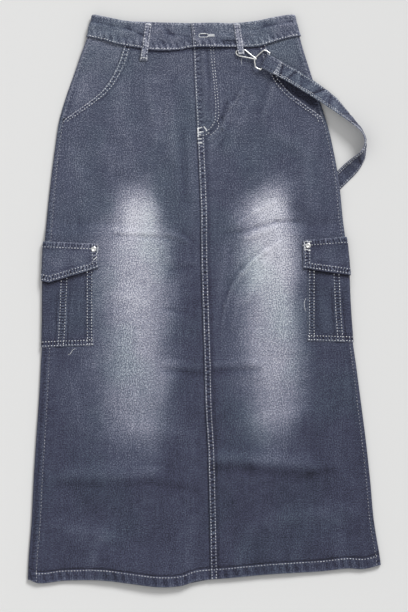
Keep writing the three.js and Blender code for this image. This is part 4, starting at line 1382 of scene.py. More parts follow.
def buttonhole_depth(x, down):
    """Distance outside the keyhole's edge, less than 0 in the slit."""
    left, at_down, eye, half, slit = BUTTONHOLE
    in_eye = np.hypot(np.maximum(0, np.abs(x - left - eye / 2) - eye / 2), down - at_down) - half
    in_slit = (
        np.hypot(np.maximum(0, np.abs(x - left - eye - slit / 2) - slit / 2), down - at_down) - 0.3
    )
    return np.minimum(in_eye, in_slit)


def waistband():
    """Stations round the band: x, share across, lift of the lap, and which part of the tube."""
    edge_rows = np.array([0, 0.012, 0.035, 0.07, 0.11, 0.16])
    share = np.concatenate([edge_rows, np.linspace(0.21, 0.79, 22), 1 - edge_rows[::-1]])[:, None]
    outers, inners, tones, flats = [], [], [], []
    run = 0.0

    def station(across, part, along=None, rise=0.0, pitch=2.5):
        nonlocal run
        down = mix(waist_top(across), waist_seam(across), share[:, 0])
        x = band_x(across, down) if along is None else side_x(part, along, down)
        crease = (
            0.35 * unevenness(run * 0.25, down, 15, 31) + 0.25 * unevenness(run, down * 0.6, 24, 32)
        )
        if part == "front":
            crease = crease + crease_height(BAND_CREASES, x, down)
        up_from_seam = (1 - share[:, 0]) * 42
        roll = 0.42 * puckers(run + 0.4 * down, up_from_seam - 7, 5.5, 11)
        roll = roll + 0.2 * puckers(run, up_from_seam - 39, 5, 10)
        edge = -0.5 * hump(share[:, 0], 0.03) - 0.5 * hump(1 - share[:, 0], 0.03)
        shown = 0.0 if part == "back" else 1.0
        detail = shown * (crease + roll) + edge
        hole = 0 * down
        if part == "front" and rise > 0:
            inside = buttonhole_depth(x, down)
            hole = ramp(inside, 0.2, -0.5)
            detail = detail - 0.4 * hole + 0.25 * hump(inside - 1, 1)
        lift = GAP + BAND_CLOTH + detail
        if part == "front":
            outer = front_points(x, down, lift + rise)
            inner = front_points(x, down, GAP + rise + 0 * down)
        elif part == "back":
            outer = np.stack([x, down, back_z(x, down) - lift], axis=-1)
            inner = np.stack([x, down, back_z(x, down) - GAP], axis=-1)
        else:
            outer, inner = skin(part, along, down, lift), skin(part, along, down, GAP)
        # The band's creases and rolls are made paler on their ridges and darker in their troughs: painted light and
        # shade.
        band_crest_light_and_shade = np.clip(shown * (crease + roll), -1.2, 1)
        tone = wash_by_height(down) + 0.015 + 0.07 * band_crest_light_and_shade + 0.02 * unevenness(run, down, 30, 33)
        tone = tone + 0.02 * ramp(x, 60, 120)
        wear = (
            0.75 * hump(share[:, 0], 0.05) + 0.5 * hump(0.94 - share[:, 0], 0.04)
            + 0.3 * np.clip(roll * 2.2, 0, 1)
        )
        shade = 0.45 * np.clip(-roll * 2.5, 0, 1) + 0.5 * np.clip(-crease - 0.5, 0, 1) + 0.4 * hole
        shade = shade + 0.7 * hump(1 - share[:, 0], 0.018)
        if part == "front" and rise > 0:
            wear = wear + 1.3 * hump(x - centre_x(down), 1.8)
        outers.append(outer)
        inners.append(inner)
        tones.append(np.stack([tone, wear, shade], axis=-1))
        tall = waist_seam(across) - waist_top(across)
        flats.append(np.stack([share[:, 0] * tall * MM + 0.5, run * MM + 0 * down], axis=-1))
        run += pitch

    for along in np.arange(UNDERLAP, 0, -2.5):
        station(across_from(along), "front")
    for across in np.linspace(0.5, 0.006, 72):
        station(across, "front")
    for along in np.linspace(QUARTER, -QUARTER, 11):
        station(0, "left", along, pitch=1)
    for across in np.linspace(0.03, 0.97, 48):
        station(across, "back", pitch=7.2)
    for along in np.linspace(-QUARTER, QUARTER, 11):
        station(1, "right", along, pitch=1)
    start = across_from(68)
    for across in np.linspace(0.994, start, 44):
        station(across, "front")
    for along in np.concatenate(
        [np.arange(66, 45, -1.5), np.arange(44.5, 6, -0.5), np.arange(6, 1, -1), [0.6, 0]]
    ):
        pitch = 1.5 if along > 45 else 0.5 if along > 6 else 1
        station(across_from(along), "front", rise=float(lap_rise(along)), pitch=pitch)
    outer, inner = np.stack(outers, axis=1), np.stack(inners, axis=1)
    flat, tone = np.stack(flats, axis=1), np.stack(tones, axis=1)
    ladder = (flat[..., 1] / MM, 0.4 * hump(share - 0.9, 0.12) + 0 * flat[..., 1])
    return cloth_piece("denim_waistband", outer, inner, flat, tone, ladder, DENIM, "waistband")


band = waistband()


def band_row(share, start, end, rise=6):
    across = np.linspace(start, end, 170)
    down = mix(waist_top(across), waist_seam(across), share)
    return front_points(band_x(across, down), down, rise)


BAND_ROWS = (0.07, 0.945)  # share of the way down the band


def band_stitches():
    """The thin row along the top, then the thick ones along the bottom and the lap's edge."""
    rows = []
    for share in BAND_ROWS:
        rows.append(band_row(share, 0.004, 0.499))
        rows.append(band_row(share, 0.502, 0.996, 12))
    down = np.linspace(17, 53, 24)
    rows.append(front_points(centre_x(down) + 1.3, down, 12))
    return rows[:2], rows[2:]


def keyhole_rows():
    """Satin stitches lying across the buttonhole's edge, all the way round."""
    left, at_down, eye, half, slit = BUTTONHOLE
    rows = []

    def bar(x, out_x, out_down, reach):
        ends = np.array(reach)
        rows.append(front_points(x + out_x * ends, at_down + out_down * ends, 12))

    for turn in np.linspace(0.5, 1.5, 15) * math.pi:
        bar(left, math.cos(turn), math.sin(turn), (half, half + 1.7))
    for x in np.arange(left, left + eye, 0.62):
        for way in (-1, 1):
            bar(x, 0, way, (half, half + 1.7))
    for x in np.arange(left + eye, left + eye + slit, 0.62):
        open_half = mix(half, 0.3, min(1, (x - left - eye) / 3))
        for way in (-1, 1):
            bar(x, 0, way, (open_half, open_half + 1.3))
    return rows


top_row, other_rows = band_stitches()
top_seam = stitched("thread_waistband_top", top_row, band, FINE)
band_seams = stitched("thread_waistband", other_rows, band)
keyhole = stitched("thread_buttonhole", keyhole_rows(), band, SATIN, 0.3, WHITE_THREAD)
lay_sheet(
    band, [top_seam, band_seams, keyhole]
)


def nickel_material():
    material, shader, nodes, links = new_material("nickel")
    place = nodes.new("ShaderNodeTexCoord")
    dull = noise_texture(nodes, 260, 4, "dull patches")
    links.new(place.outputs["Object"], dull.inputs["Vector"])
    spread = nodes.new("ShaderNodeMapRange")
    spread.inputs["To Min"].default_value = 0.26
    spread.inputs["To Max"].default_value = 0.42
    links.new(dull.outputs["Fac"], spread.inputs["Value"])
    links.new(spread.outputs[0], shader.inputs["Roughness"])
    stops = ((0, (0.72, 0.72, 0.71)), (1, (0.95, 0.95, 0.94)))
    links.new(colours_at(nodes, links, dull.outputs["Fac"], stops), shader.inputs["Base Color"])
    shader.inputs["Metallic"].default_value = 1
    return material


NICKEL = nickel_material()


def turned_piece(name, profile, at, material, node, sides=40):
    """A piece turned round an upright line at a place, from a profile of radius and height."""
    turns = np.arange(sides) * 2 * math.pi / sides
    points = [
        (at[0] + r * math.cos(a), at[1] + r * math.sin(a), at[2] + h) for r, h in profile
        for a in turns
    ]
    top, low = len(points), len(points) + 1
    points += [(at[0], at[1], at[2] + profile[-1][1]), (at[0], at[1], at[2] + profile[0][1])]
    faces = []
    for i in range(len(profile) - 1):
        for j in range(sides):
            a, b = i * sides + j, i * sides + (j + 1) % sides
            faces.append((b, a, a + sides, b + sides))
    last = (len(profile) - 1) * sides
    faces += [(last + (j + 1) % sides, last + j, top) for j in range(sides)]
    faces += [(j, (j + 1) % sides, low) for j in range(sides)]
    mesh = bpy.data.meshes.new(name)
    mesh.from_pydata(world_points(points).tolist(), [], faces)
    return placed(name, mesh, material, "nickel", node)


button_x = float(band_x(np.array(across_from(BUTTON[0])), BUTTON[1]))
button_z = float(front_z(button_x, BUTTON[1])) + BAND_CLOTH + 2 * GAP
BUTTON_PROFILE = (
    (0.01, 0), (7.2, 0), (8, 0.3), (8, 0.8), (7.2, 1.15), (6, 1.0), (5.2, 1.2), (2, 1.2),
    (0.01, 1.1)
)
turned_piece(
    "waist_button_disc", BUTTON_PROFILE, (button_x, BUTTON[1], button_z), NICKEL, "waist_button"
)

# Belt loops: two in front, three hidden at the back.
# Folded strips about 11 mm wide, sewn down at both ends over the waistband.
LOOP_WIDTH = 10.6
LOOP_CLOTH = 1.6
LOOPS = {  # top x, top down, end x, end down, height off the band near the foot, width of the foot
    "belt_loop_left": (-94.7, 14.4, -103.7, 78, 0, 1.15),
    "belt_loop_right": (54.5, 15, 62.4, 67.6, 0.6, 1.0),
}
BACK_LOOPS = {"belt_loop_back_left": -95, "belt_loop_back_centre": 0, "belt_loop_back_right": 95}


def loop_line(name):
    """Middle x, lift and width of a front loop at depths, as a function."""
    top_x, top, end_x, end, bridge, foot = LOOPS[name]
    on_band = BAND_CLOTH + 2 * GAP
    rows = ((top, on_band), (48, on_band), (57, on_band + bridge), (65, on_band + bridge + 0.3),
            (71.5, on_band + bridge * 2.4), (end, GAP))
    lift = lambda down: np.interp(down, [row[0] for row in rows], [row[1] for row in rows])
    centre = lambda down: mix(top_x, end_x, ramp(down, top, end))
    width = lambda down: LOOP_WIDTH * (1 + (foot - 1) * ramp(down, 60, end))
    return centre, lift, width, top, end


def front_loop(name):
    centre, lift, width, top, end = loop_line(name)
    share = np.array(
        [-0.5, -0.47, -0.42, -0.35, -0.26, -0.16, -0.05, 0.05, 0.16, 0.26, 0.35, 0.42, 0.47, 0.5]
    )
    down, share = np.meshgrid(np.linspace(top, end, 40), share, indexing="ij")
    x = centre(down) + share * width(down)
    low = front_z(centre(down), down) + lift(down)
    rib = 0.25 * hump(np.abs(share) - 0.36, 0.09) - 0.3 * hump(np.abs(share) - 0.5, 0.04)
    crumple = 0.35 * unevenness(x, down, 11, 41) + 0.15 * unevenness(x, down, 5, 42)
    outer = np.stack([x, down, low + LOOP_CLOTH + rib + crumple], axis=-1)
    inner = np.stack([x, down, low], axis=-1)
    # Paler where the loop crumples up and darker where it dips: painted light and shade.
    tone = wash_by_height(down) + 0.05 + 0.16 * crumple
    wear = (
        0.8 * hump(np.abs(share) - 0.5, 0.1) + 0.4 * hump(down - top, 2) + 0.5 * hump(down - end, 2)
        + 0.6
    )
    shade = 0.3 * hump(np.abs(share) - 0.25, 0.05) + 0.4 * np.clip(-crumple * 3, 0, 1)
    weave = np.stack([share * width(down) * MM + 1.1, -down * MM], axis=-1)
    wash = np.stack([tone, wear, shade], axis=-1)
    ladder = (down, 0.7 * hump(np.abs(share) - 0.36, 0.12))
    return cloth_piece(f"denim_{name}", outer, inner, weave, wash, ladder, DENIM, name)


def back_loop(name):
    across = across_from(BACK_LOOPS[name])
    share, wide = np.meshgrid(np.linspace(0, 1, 16), np.linspace(-0.5, 0.5, 7), indexing="ij")
    down = mix(waist_top(across), waist_seam(across), share)
    x = band_x(across, down) + wide * LOOP_WIDTH
    tone = wash_by_height(down) + 0.05
    wear = 0.5 * hump(np.abs(wide) - 0.5, 0.08)
    outer = np.stack([x, down, 0.02 + 0 * x], axis=-1)
    inner = np.stack([x, down, BACK_LOOP_CLOTH + 0 * x], axis=-1)
    weave = np.stack([wide * LOOP_WIDTH * MM + 1.3, -down * MM], axis=-1)
    wash = np.stack([tone, wear, 0 * x], axis=-1)
    return cloth_piece(f"denim_{name}", outer, inner, weave, wash, (down, 0), DENIM, name)


def loop_stitches(name):
    centre, lift, width, top, end = loop_line(name)
    down = np.linspace(top + 1, end - 1, 34)
    return [
        front_points(centre(down) + share * width(down), down, lift(down) + 8)
        for share in (-0.36, 0.36)
    ]


def loop_tacks(name):
    centre, _, width, top, end = loop_line(name)
    rows = []
    for down in (top + 1.6, end - 1.8):
        bar = bartack(
            centre(down) - 0.42 * width(down), down, centre(down) + 0.42 * width(down), down
        )
        rows.append(bar + [0, 0, 4])
    return rows


front_loops = {name: front_loop(name) for name in LOOPS}
for name, loop in front_loops.items():
    sewn = [stitched(f"thread_{name}", loop_stitches(name), loop)]
    sewn.append(stitched(f"thread_tack_{name}", loop_tacks(name), loop, SATIN))
    lay_sheet(loop, sewn)
for name in BACK_LOOPS:
    lay_sheet(back_loop(name))

# Cargo pockets, left and right.
# Patch pockets wrapped round the sides, each with a pressed pleat down the middle, sewn on along
# the bottom and both edges. The pointed flaps are sewn on above them.
POCKETS = {
    "left": dict(
        body_x=-188, body_back=-69, flap_x=-179.5, flap_back=-76,
        top_front=389, top_side=385, corner=430, point=455, point_at=11,
        bottom_front=561, bottom_side=565, pleat=(27, 41), lean=4.5, paler=0.07,
    ),
    "right": dict(
        body_x=175, body_back=-80, flap_x=167.5, flap_back=-86,
        top_front=383, top_side=377, corner=431, point=443, point_at=-6,
        bottom_front=554, bottom_side=556, pleat=(16, 29), lean=0, paler=0.02,
    ),
}
BODY_TOP = 14
PLEAT_RISE = 0.8
PLEAT_EDGE = 1.5


def pocket_edge(side, front_x, back, front_down, fold_down, turn_at):
    """Depth of a pocket's top or bottom edge round the skin, deepest or highest at turn_at."""
    front = along_of(side, front_x, front_down)
    over = lambda along: mix(fold_down, front_down, ramp(along, turn_at, front))
    under = lambda along: mix(fold_down, front_down, 1 - ramp(along, back, turn_at))
    return lambda along: np.where(along > turn_at, over(along), under(along))


def pocket_grid(side, front_x, back, top, bottom, rows):
    """Grids of along, down, share down, and distance in from the front and back edges."""
    pocket = POCKETS[side]
    first = lambda down: along_of(side, front_x, down)
    edge = (0, 0.8, 1.8, 3, 4.5, 6, 8, 10, 12, 14)
    places = [lambda down, s=s: first(down) - s for s in edge]
    start = float(first(pocket["top_front"])) - 14
    places += [constant(along) for along in np.arange(start - 2.4, QUARTER + 2, -2.4)]
    places += [constant(along) for along in np.linspace(QUARTER, -QUARTER, 11)]
    places += [constant(along) for along in np.arange(-QUARTER - 3, back + 14, -4.5)]
    places += [constant(back + s) for s in (12, 8, 4, 1.5, 0)]
    down_share = np.concatenate(
        [[0, 0.008, 0.02, 0.04, 0.07], np.linspace(0.1, 0.9, rows), [0.93, 0.96, 0.98, 0.992, 1]]
    )
    columns = []
    for place in places:
        at_top, at_bottom = float(place(pocket["top_front"])), float(place(pocket["bottom_front"]))
        down = mix(top(at_top), bottom(at_bottom), down_share)
        tall = bottom(at_bottom) - top(at_top)
        columns.append(np.stack([place(down), down, down_share * tall, (1 - down_share) * tall]))
    along, down, from_top, from_bottom = np.stack(columns, axis=-1)
    return along, down, from_top, from_bottom, first(down) - along, along - back


def pocket_cloth(name, node, side, grid, low, lift, tone, wear, shade, ladder):
    along, down = grid[:2]
    outer = skin(side, along, down, low + CLOTH + lift)
    weave = np.stack([along * MM + 1.7, -down * MM], axis=-1)
    wash = np.stack([tone, wear, shade], axis=-1)
    return cloth_piece(name, outer, skin(side, along, down, low), weave, wash, ladder, DENIM, node)


def body_edges(side):
    pocket = POCKETS[side]
    line = lambda key, drop: pocket_edge(
        side, pocket["body_x"], pocket["body_back"], pocket[f"{key}_front"] + drop, pocket[f"{key}_side"] + drop, 0)
    return line("top", BODY_TOP), line("bottom", 0)


def pocket_tone(side, along, down):
    x = side_x(side, along, down)
    return wash_by_height(down) - 0.02 + 0.5 * (wash_tone_and_crease_shade(x, down) - wash_by_height(down))


def flap_edges(side):
    pocket = POCKETS[side]
    top = pocket_edge(
        side, pocket["flap_x"], pocket["flap_back"], pocket["top_front"], pocket["top_side"], 0
    )
    bottom = pocket_edge(
        side, pocket["flap_x"], pocket["flap_back"], pocket["corner"], pocket["point"],
        pocket["point_at"]
    )
    return top, bottom


def pleat_lean(side, down):
    """How far the pleat leans towards the front at a depth."""
    pocket = POCKETS[side]
    return pocket["lean"] * ramp(down, pocket["bottom_front"], pocket["corner"])


def cargo_body(side):
    pocket = POCKETS[side]
    grid = pocket_grid(side, pocket["body_x"], pocket["body_back"], *body_edges(side), 60)
    along, down, _, from_bottom, from_front, from_back = grid
    near, far = (edge + pleat_lean(side, down) for edge in pocket["pleat"])
    in_pleat = ramp(along, near - PLEAT_EDGE, near) * (1 - ramp(along, far, far + PLEAT_EDGE))
    slope = ramp(down, *STACK_ROWS[2:4])
    below_flap = down - flap_edges(side)[1](along)
    border = np.minimum(np.minimum(from_front, from_back), from_bottom)
    roping = puckers(down + along, border - 7, 5, 8)
    rounding = -0.35 * hump(border, 1.2)
    bulge = (
        0.5 * unevenness(along * 1.4, down, 60, 51) * ramp(border, 4, 25)
        + 0.25 * unevenness(along, down, 17, 52)
    )
    lift = rounding + 0.16 * roping + PLEAT_RISE * slope * in_pleat + 0.4 * np.clip(bulge, -0.4, 1)
    pleat_edge = hump(along - near + 0.5, 1.1) + hump(along - far - 0.5, 1.1)
    # Paler where the pocket bulges up and darker where it sinks: painted light and shade.
    tone = pocket_tone(side, along, down) + 0.04 * bulge
    wear = (
        0.6 * hump(border, 1.8) + 0.55 * slope * pleat_edge + 0.3 * np.clip(roping, 0, 1)
        + 0.4 * hump(from_bottom, 2)
    )
    outside = hump(along - near + 2.6, 1.5) + hump(along - far - 2.6, 1.5)
    shade = 0.6 * slope * outside + 0.4 * hump(border - 13, 2) + 0.5 * np.clip(-roping - 0.1, 0, 1)
    shade = shade + 1.5 * hump(below_flap - 1.5, 2.6) + 0.35 * hump(below_flap - 5, 5)
    in_band = ramp(along, near - 1, near) * (1 - ramp(along, far, far + 1))
    row = hump(from_front - 7, 4) + in_band * hump(along - (near + far) / 2, 5)
    by_bottom = from_bottom < np.minimum(from_front, 12)
    strength = np.where(by_bottom, hump(from_bottom - 5.5, 3.5), np.clip(row, 0, 1))
    ladder = (1.2 * np.where(by_bottom, along, down), 1.1 * strength)
    return pocket_cloth(
        f"denim_pocket_{side}", f"cargo_pocket_{side}", side, grid, GAP, lift, tone, wear, shade,
        ladder
    )


def edge_row(side, front_x, inside, start, end):
    """A row down a pocket, a little in from its front edge."""
    down = np.linspace(start, end, 80)
    return skin(side, along_of(side, front_x, down) - inside, down, ABOVE)


def round_row(side, edge, off, start, end):
    """A row round the side, a little off a pocket's top or bottom edge."""
    along = np.linspace(start, end, 130)
    return skin(side, along, edge(along) - off, ABOVE)


def body_stitches(side):
    pocket = POCKETS[side]
    top, bottom = body_edges(side)
    first = float(along_of(side, pocket["body_x"], pocket["bottom_front"]))
    high, low = float(top(first)) + 4, float(bottom(first)) - 2
    rows = [edge_row(side, pocket["body_x"], inside, high, low) for inside in (3.4, 11)]
    rows += [round_row(side, bottom, off, first - 2, pocket["body_back"] + 2) for off in (2, 9)]
    down = np.linspace(high, low, 80)
    near, far = (edge + pleat_lean(side, down) for edge in pocket["pleat"])
    rows += [skin(side, along, down, ABOVE) for along in (near + 2.4, far - 2.4)]
    return rows + [skin(side, pocket["body_back"] + inside, down, ABOVE) for inside in (3.4, 11)]


bodies = {side: cargo_body(side) for side in POCKETS}
for side, body in bodies.items():
    lay_sheet(
        body,
        [stitched(f"thread_pocket_{side}", body_stitches(side), body)]
    )

# Pocket flaps, left and right, with their rivets.
# Pointed flaps of doubled denim, sewn along the top; a nickel rivet holds each inner corner.
RIVET = (8.5, 9)  # in from the flap's edge, below its top
RIVET_PROFILE = ((0.01, 0), (4.3, 0), (4.6, 0.2), (4.55, 0.6), (4.1, 1.15), (3.3, 1.4), (2.5, 1.3), (1.9, 0.9),
                 (1.6, 0.6), (0.8, 0.55), (0.01, 0.55))
CORNER_TACKS = {  # in from the flap's front edge and below its top, twice for each bar
    "left": ((1.5, 3, 1.5, 15), (3.4, 22, 10, 27)),
    "right": ((1.6, 2, 1.6, 16), (3, 2.2, 14, 2.5), (3, 15.6, 13, 17)),
}


def cargo_flap(side):
    pocket = POCKETS[side]
    grid = pocket_grid(side, pocket["flap_x"], pocket["flap_back"], *flap_edges(side), 26)
    along, down, from_top, from_bottom, from_front, from_back = grid
    border = np.minimum(np.minimum(from_front, from_back), from_bottom)
    roping = puckers(down + along, border - 7, 5.5, 8)
    top_roping = puckers(along, from_top - 5, 6, 9)
    curl = 1.2 * ramp(from_bottom, 30, 0) ** 2 * hump(along - 30, 30)
    lift = (
        -0.4 * hump(border, 1.2) - 0.4 * hump(from_top, 1.2) + 0.18 * (roping + top_roping)
        + 0.25 * ramp(border, 13, 10)
    )
    lift = lift + 0.2 * unevenness(along, down, 26, 55) + curl
    tone = pocket_tone(side, along, down) + pocket["paler"] + 0.04 * unevenness(along, down, 30, 56)
    ropes = np.clip(roping, 0, 1) + np.clip(top_roping, 0, 1)
    wear = (
        0.4 * hump(border - 1.5, 1.5) + 0.6 * hump(from_top, 2) + 0.35 * ropes
        + 0.3 * hump(border - 12, 1.6)
    )
    troughs = np.clip(-roping - 0.1, 0, 1) + np.clip(-top_roping - 0.1, 0, 1)
    shade = (
        0.35 * hump(border - 14.5, 2) + 0.5 * troughs + 0.3 * hump(from_top - 12, 2)
        + 0.9 * hump(from_bottom, 1)
    )
    by_front = (from_front < from_bottom) & (from_front < from_top)
    row = np.maximum(hump(np.minimum(from_bottom, from_front) - 7, 4), 0.7 * hump(from_top - 5, 4))
    ladder = (1.15 * np.where(by_front, down, along), 1.4 * row)
    low = GAP + LAYER
    return pocket_cloth(
        f"denim_flap_{side}", f"cargo_flap_{side}", side, grid, low, lift, tone, wear, shade, ladder
    )


def flap_rivet(side):
    x = POCKETS[side]["flap_x"] - TURN[side] * RIVET[0]
    down = POCKETS[side]["top_front"] + RIVET[1]
    z = float(front_z(x, down)) + 2 * LAYER + GAP
    return turned_piece(f"flap_rivet_{side}", RIVET_PROFILE, (x, down, z), NICKEL, f"rivet_{side}")


def flap_stitches(side):
    pocket = POCKETS[side]
    top, bottom = flap_edges(side)
    first = float(along_of(side, pocket["flap_x"], pocket["corner"]))
    rows = [round_row(side, top, -9, first - 1, pocket["flap_back"] + 2)]
    for inside in (3.5, 11):
        rows.append(
            edge_row(
                side, pocket["flap_x"], inside, pocket["top_front"] + 2, pocket["corner"] - inside
            )
        )
        rows.append(round_row(side, bottom, inside, first - inside, pocket["flap_back"] + inside))
    return rows


def corner_tacks(side):
    x, top, turn = POCKETS[side]["flap_x"], POCKETS[side]["top_front"], TURN[side]
    bars = [
        bartack(x - turn * in1, top + down1, x - turn * in2, top + down2)
        for in1, down1, in2, down2 in CORNER_TACKS[side]
    ]
    return [bar + [0, 0, 4] for bar in bars]


flaps = {side: cargo_flap(side) for side in POCKETS}
for side, flap in flaps.items():
    sewn = [stitched(f"thread_flap_{side}", flap_stitches(side), flap)]
    sewn.append(
        stitched(f"thread_tack_flap_{side}", corner_tacks(side), flap, SATIN, 0.2, WHITE_THREAD)
    )
    lay_sheet(flap, sewn)
for side in POCKETS:
    flap_rivet(side)

# Strap.
# A 25 mm strip of doubled denim. One end folds back round the clip's bar; the strip runs over the
# hip, turns on its edge beyond the side and goes back under the skirt.
STRAP_WIDTH = 25
STRAP_STATIONS = 211
STRAP_CLOTH = 1.8
WIRE = 1.2
STRAP = (  # x, down, z, heading, roll onto its outer edge
    (121, 88.6, 14.4, -29, 2),
    (137, 97.5, 13.2, -30, 6),
    (154, 107, 12.2, -31, 10),
    (186, 127, 12, -34, 17),
    (213.5, 146.5, 12.4, -38, 30),
    (235.5, 165.5, 12.8, -42, 54),
    (257, 186, 13.2, -48, 73),
    (267.5, 198, 13.4, -60, 81),
    (272.5, 209.5, 13.4, -78, 83),
    (273, 222.5, 13.3, -97, 80),
    (268.5, 236.5, 12.4, -115, 65),
    (260, 248.5, 9.6, -128, 38),
    (248, 261, 4.4, -134, 12),
    (236, 273, 1, -135, 0),
    (214, 295, 1, -135, 0),
    (193, 316, 1, -135, 0),
)
FRAME_BAR = (103.4, 79.6, 12.9)
FRAME_HEADING = math.radians(-29)
FRAME_SIZE = (12.5, 35, 3)  # depth, width, corner
FRAME_POINT = (-17.6, -4)  # where the frame's far side comes to a point
STRAP_FOLD = (23, -0.7)
STRAP_WRINKLES = (  # along from the bar, slant, half-width, rise
    (13, 0.2, 2, -0.7),
    (24, 0, 3.4, 1.2),
    (31, -0.3, 1.6, -1.1),
    (44, 0.5, 3, 0.7),
    (50, 0.4, 1.8, -0.8),
    (63, -0.4, 3.4, 0.7),
    (70, -0.3, 1.8, -0.7),
    (86, 0.5, 4, 0.7),
    (102, 0.7, 1.8, -1.0),
    (110, 0.5, 3.4, 0.9),
    (128, -0.5, 2.4, -0.7),
    (139, -0.3, 4, 0.7),
    (163, 0.5, 2.6, -0.6),
    (184, 0.6, 2.4, -0.6),
    (228, -0.5, 2.6, -0.7),
    (243, 0.5, 3, 0.7),
    (255, 0.6, 2.4, -0.8),
    (268, -0.4, 3, 0.6),
)


def strap_line():
    """Middle points and sideways directions of the strap, from its folded end to its hidden end."""
    ahead = np.array([math.cos(FRAME_HEADING), -math.sin(FRAME_HEADING), 0])
    across = np.array([math.sin(FRAME_HEADING), math.cos(FRAME_HEADING), 0]) * [-1, -1, 1]
    bar = np.array(FRAME_BAR)
    radius = WIRE + GAP + STRAP_CLOTH / 2
    turned = [math.radians(a) for a in range(90, 271, 15)]
    folded = [(radius * math.cos(a), -radius * math.sin(a)) for a in turned]
    under = [
        (run, mix(-1.9, STRAP_FOLD[1], ramp(run, 9, STRAP_FOLD[0])))
        for run in np.linspace(STRAP_FOLD[0], 9, 7)
    ]
    under += [(run, mix(-radius, -1.9, run / 9)) for run in (6, 3)]
    middle = [bar + ahead * run + [0, 0, z] for run, z in under + folded]
    sides = [across] * len(middle)
    columns = [line_through([(i, *row) for i, row in enumerate(STRAP)], c) for c in range(1, 6)]
    for t in np.linspace(0, len(STRAP) - 1, STRAP_STATIONS):
        x, down, z, heading, roll = (float(column(t)) for column in columns)
        turn, lean = math.radians(heading), math.radians(max(0, roll))
        resting = (STRAP_CLOTH * math.cos(lean) + STRAP_WIDTH * math.sin(lean)) / 2
        middle.append(np.array([x, down, max(z, resting)]))
        sides.append(
            np.array(
                [
                    -math.sin(turn) * math.cos(lean), -math.cos(turn) * math.cos(lean),
                    -math.sin(lean)
                ]
            )
        )
    return np.array(middle), np.array(sides)


def strap_points(share, lift):
    """Points on the strap at shares of its width, moved off its middle surface."""
    middle, sides = strap_line()
    ahead = np.gradient(middle, axis=0)
    normal = np.cross(sides, ahead)
    normal /= np.linalg.norm(normal, axis=1, keepdims=True)
    share, lift = np.broadcast_arrays(share, lift)
    return (
        middle[:, None] + sides[:, None] * share[..., None] * STRAP_WIDTH
        + normal[:, None] * lift[..., None]
    )


def strap_run():
    """How far along the strap each of its stations is, from the top of the clip's bar."""
    middle = strap_line()[0]
    steps = np.linalg.norm(np.diff(middle, axis=0), axis=1)
    run = np.concatenate([[0], np.cumsum(steps)])
    return run - run[-STRAP_STATIONS - 1]


def strap():
    share = np.array(
        [
            -0.5, -0.48, -0.45, -0.4, -0.34, -0.27, -0.18, -0.09, 0, 0.09, 0.18, 0.27, 0.34, 0.4,
            0.45, 0.48, 0.5
        ]
    )
    run = strap_run()[:, None]
    share = np.broadcast_to(share, (len(run), len(share)))
    edge = -0.35 * hump(np.abs(share) - 0.5, 0.03)
    roping = puckers(run, (np.abs(share) - 0.36) * 25, 4, 9)
    ripple = 0.25 * unevenness(run, share * 9, 15, 61)
    for at, slant, wide, rise in STRAP_WRINKLES:
        ripple = ripple + 1.2 * rise * hump(run - at - slant * share * STRAP_WIDTH, wide)
    settled = ramp(run, 2, 10)
    lift = STRAP_CLOTH / 2 + edge + settled * (0.14 * roping + ripple)
    outer, inner = strap_points(share, lift), strap_points(share, -STRAP_CLOTH / 2 - edge * 0.8)
    # Paler on the wrinkles' ridges and darker in their hollows: painted light and shade.
    tone = wash_by_height(outer[..., 1]) - 0.04 + 0.12 * np.clip(ripple, -1, 1)
    wear = (
        0.7 * hump(np.abs(share) - 0.5, 0.05) + 0.25 * hump(np.abs(share) - 0.36, 0.06)
        + 0.2 * np.clip(roping, 0, 1)
    )
    shade = 0.25 * hump(np.abs(share) - 0.27, 0.04) + 0.5 * np.clip(-ripple - 0.2, 0, 1) * settled
    weave = np.stack([share * 0.025 + 2.2 + 0 * run, run * MM + 0 * share], axis=-1)
    wash = np.stack([tone, wear, shade], axis=-1)
    ladder = (run + 0 * share, 0.7 * hump(np.abs(share) - 0.38, 0.1))
    return cloth_piece("denim_strap", outer, inner, weave, wash, ladder, DENIM, "strap")


strap_piece = strap()
STRAP_ROWS = (-0.44, -0.33, 0.42)
STRAP_SEWN = {"Pitch": 4.3, "Length": 3.0, "Width": 0.8}
STRAP_CROSSINGS = (21, 24.5, 28)


def strap_stitches():
    run = strap_run()
    shown = run > 8
    rows = [
        strap_points(np.full((len(run), 1), share), np.array(6.0))[shown, 0] for share in STRAP_ROWS
    ]
    share = np.linspace(-0.42, 0.42, 16)
    crossing = strap_points(np.broadcast_to(share, (len(run), 16)), np.array(6.0))
    return rows + [crossing[np.searchsorted(run, at)] for at in STRAP_CROSSINGS]


strap_threads = stitched("thread_strap", strap_stitches(), strap_piece, STRAP_SEWN)
lay_sheet(strap_piece, [strap_threads])

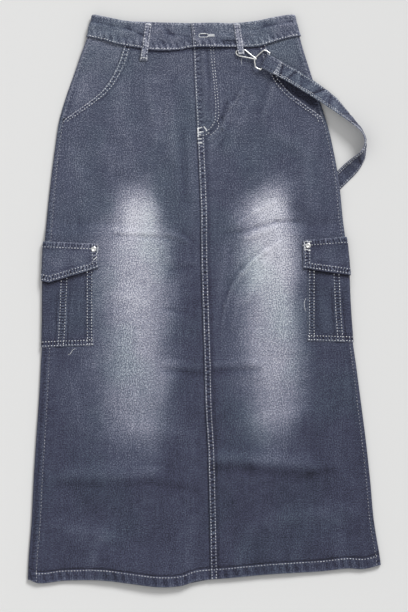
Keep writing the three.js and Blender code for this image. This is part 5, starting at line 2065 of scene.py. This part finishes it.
# Clip.
# One bent nickel-plated wire, 2.4 mm thick: a frame for the strap's end and a three-cornered loop
# that passes under the right belt loop.
HOOK = (  # x, down, z
    (87, 75.6, 12.9),
    (74, 73, 12),
    (62, 70.6, 11.4),
    (56, 68.2, 11.3),
    (53.8, 64.4, 11.3),
    (56, 60.8, 11.3),
    (63, 59.5, 11.3),
    (69.6, 60.6, 11.3),
    (76, 66, 11.8),
    (85.4, 73, 12.9),
)


def wire_ring(points, steps, sides=16):
    """A closed round wire through points, as vertices and faces."""
    control = np.array(points, float)
    count = len(control)
    t = np.arange(steps) * count / steps
    i, f = t.astype(int), (t % 1)[:, None]
    p0, p1, p2, p3 = (control[(i + k) % count] for k in (-1, 0, 1, 2))
    centre = (
        0.5 * (
            2 * p1 + (p2 - p0) * f + (2 * p0 - 5 * p1 + 4 * p2 - p3) * f**2
            + (3 * p1 - p0 - 3 * p2 + p3) * f**3
        )
    )
    ahead = np.roll(centre, -1, axis=0) - np.roll(centre, 1, axis=0)
    ahead /= np.linalg.norm(ahead, axis=1, keepdims=True)
    side = np.cross(ahead, [0, 0, 1.0])
    side /= np.linalg.norm(side, axis=1, keepdims=True)
    up = np.cross(side, ahead)
    turn = np.arange(sides) * 2 * math.pi / sides
    ring = (
        centre[:, None]
        + WIRE * (side[:, None] * np.cos(turn)[:, None] + up[:, None] * np.sin(turn)[:, None])
    )
    faces = []
    for a in range(steps):
        for b in range(sides):
            c, d = (a + 1) % steps, (b + 1) % sides
            faces.append((a * sides + b, c * sides + b, c * sides + d, a * sides + d))
    return ring.reshape(-1, 3), faces


def frame_corners():
    depth, width, cut = FRAME_SIZE
    half = width / 2 - WIRE
    places = ((0, half - cut), (-cut, half), (cut - depth, half), (-depth, half - cut), FRAME_POINT,
              (-depth, cut - half), (cut - depth, -half), (-cut, -half), (0, cut - half))
    c, s = math.cos(FRAME_HEADING), math.sin(FRAME_HEADING)
    x, down, z = FRAME_BAR
    return [(x + run * c - across * s, down - run * s - across * c, z) for run, across in places]


def strap_clip():
    points, faces = wire_ring(frame_corners(), 120)
    hook_points, hook_faces = wire_ring(HOOK, 140)
    faces += [tuple(index + len(points) for index in face) for face in hook_faces]
    mesh = bpy.data.meshes.new("clip_wire")
    mesh.from_pydata(world_points(np.concatenate([points, hook_points])).tolist(), [], faces)
    placed("clip_wire", mesh, NICKEL, "nickel", "strap_clip")


strap_clip()
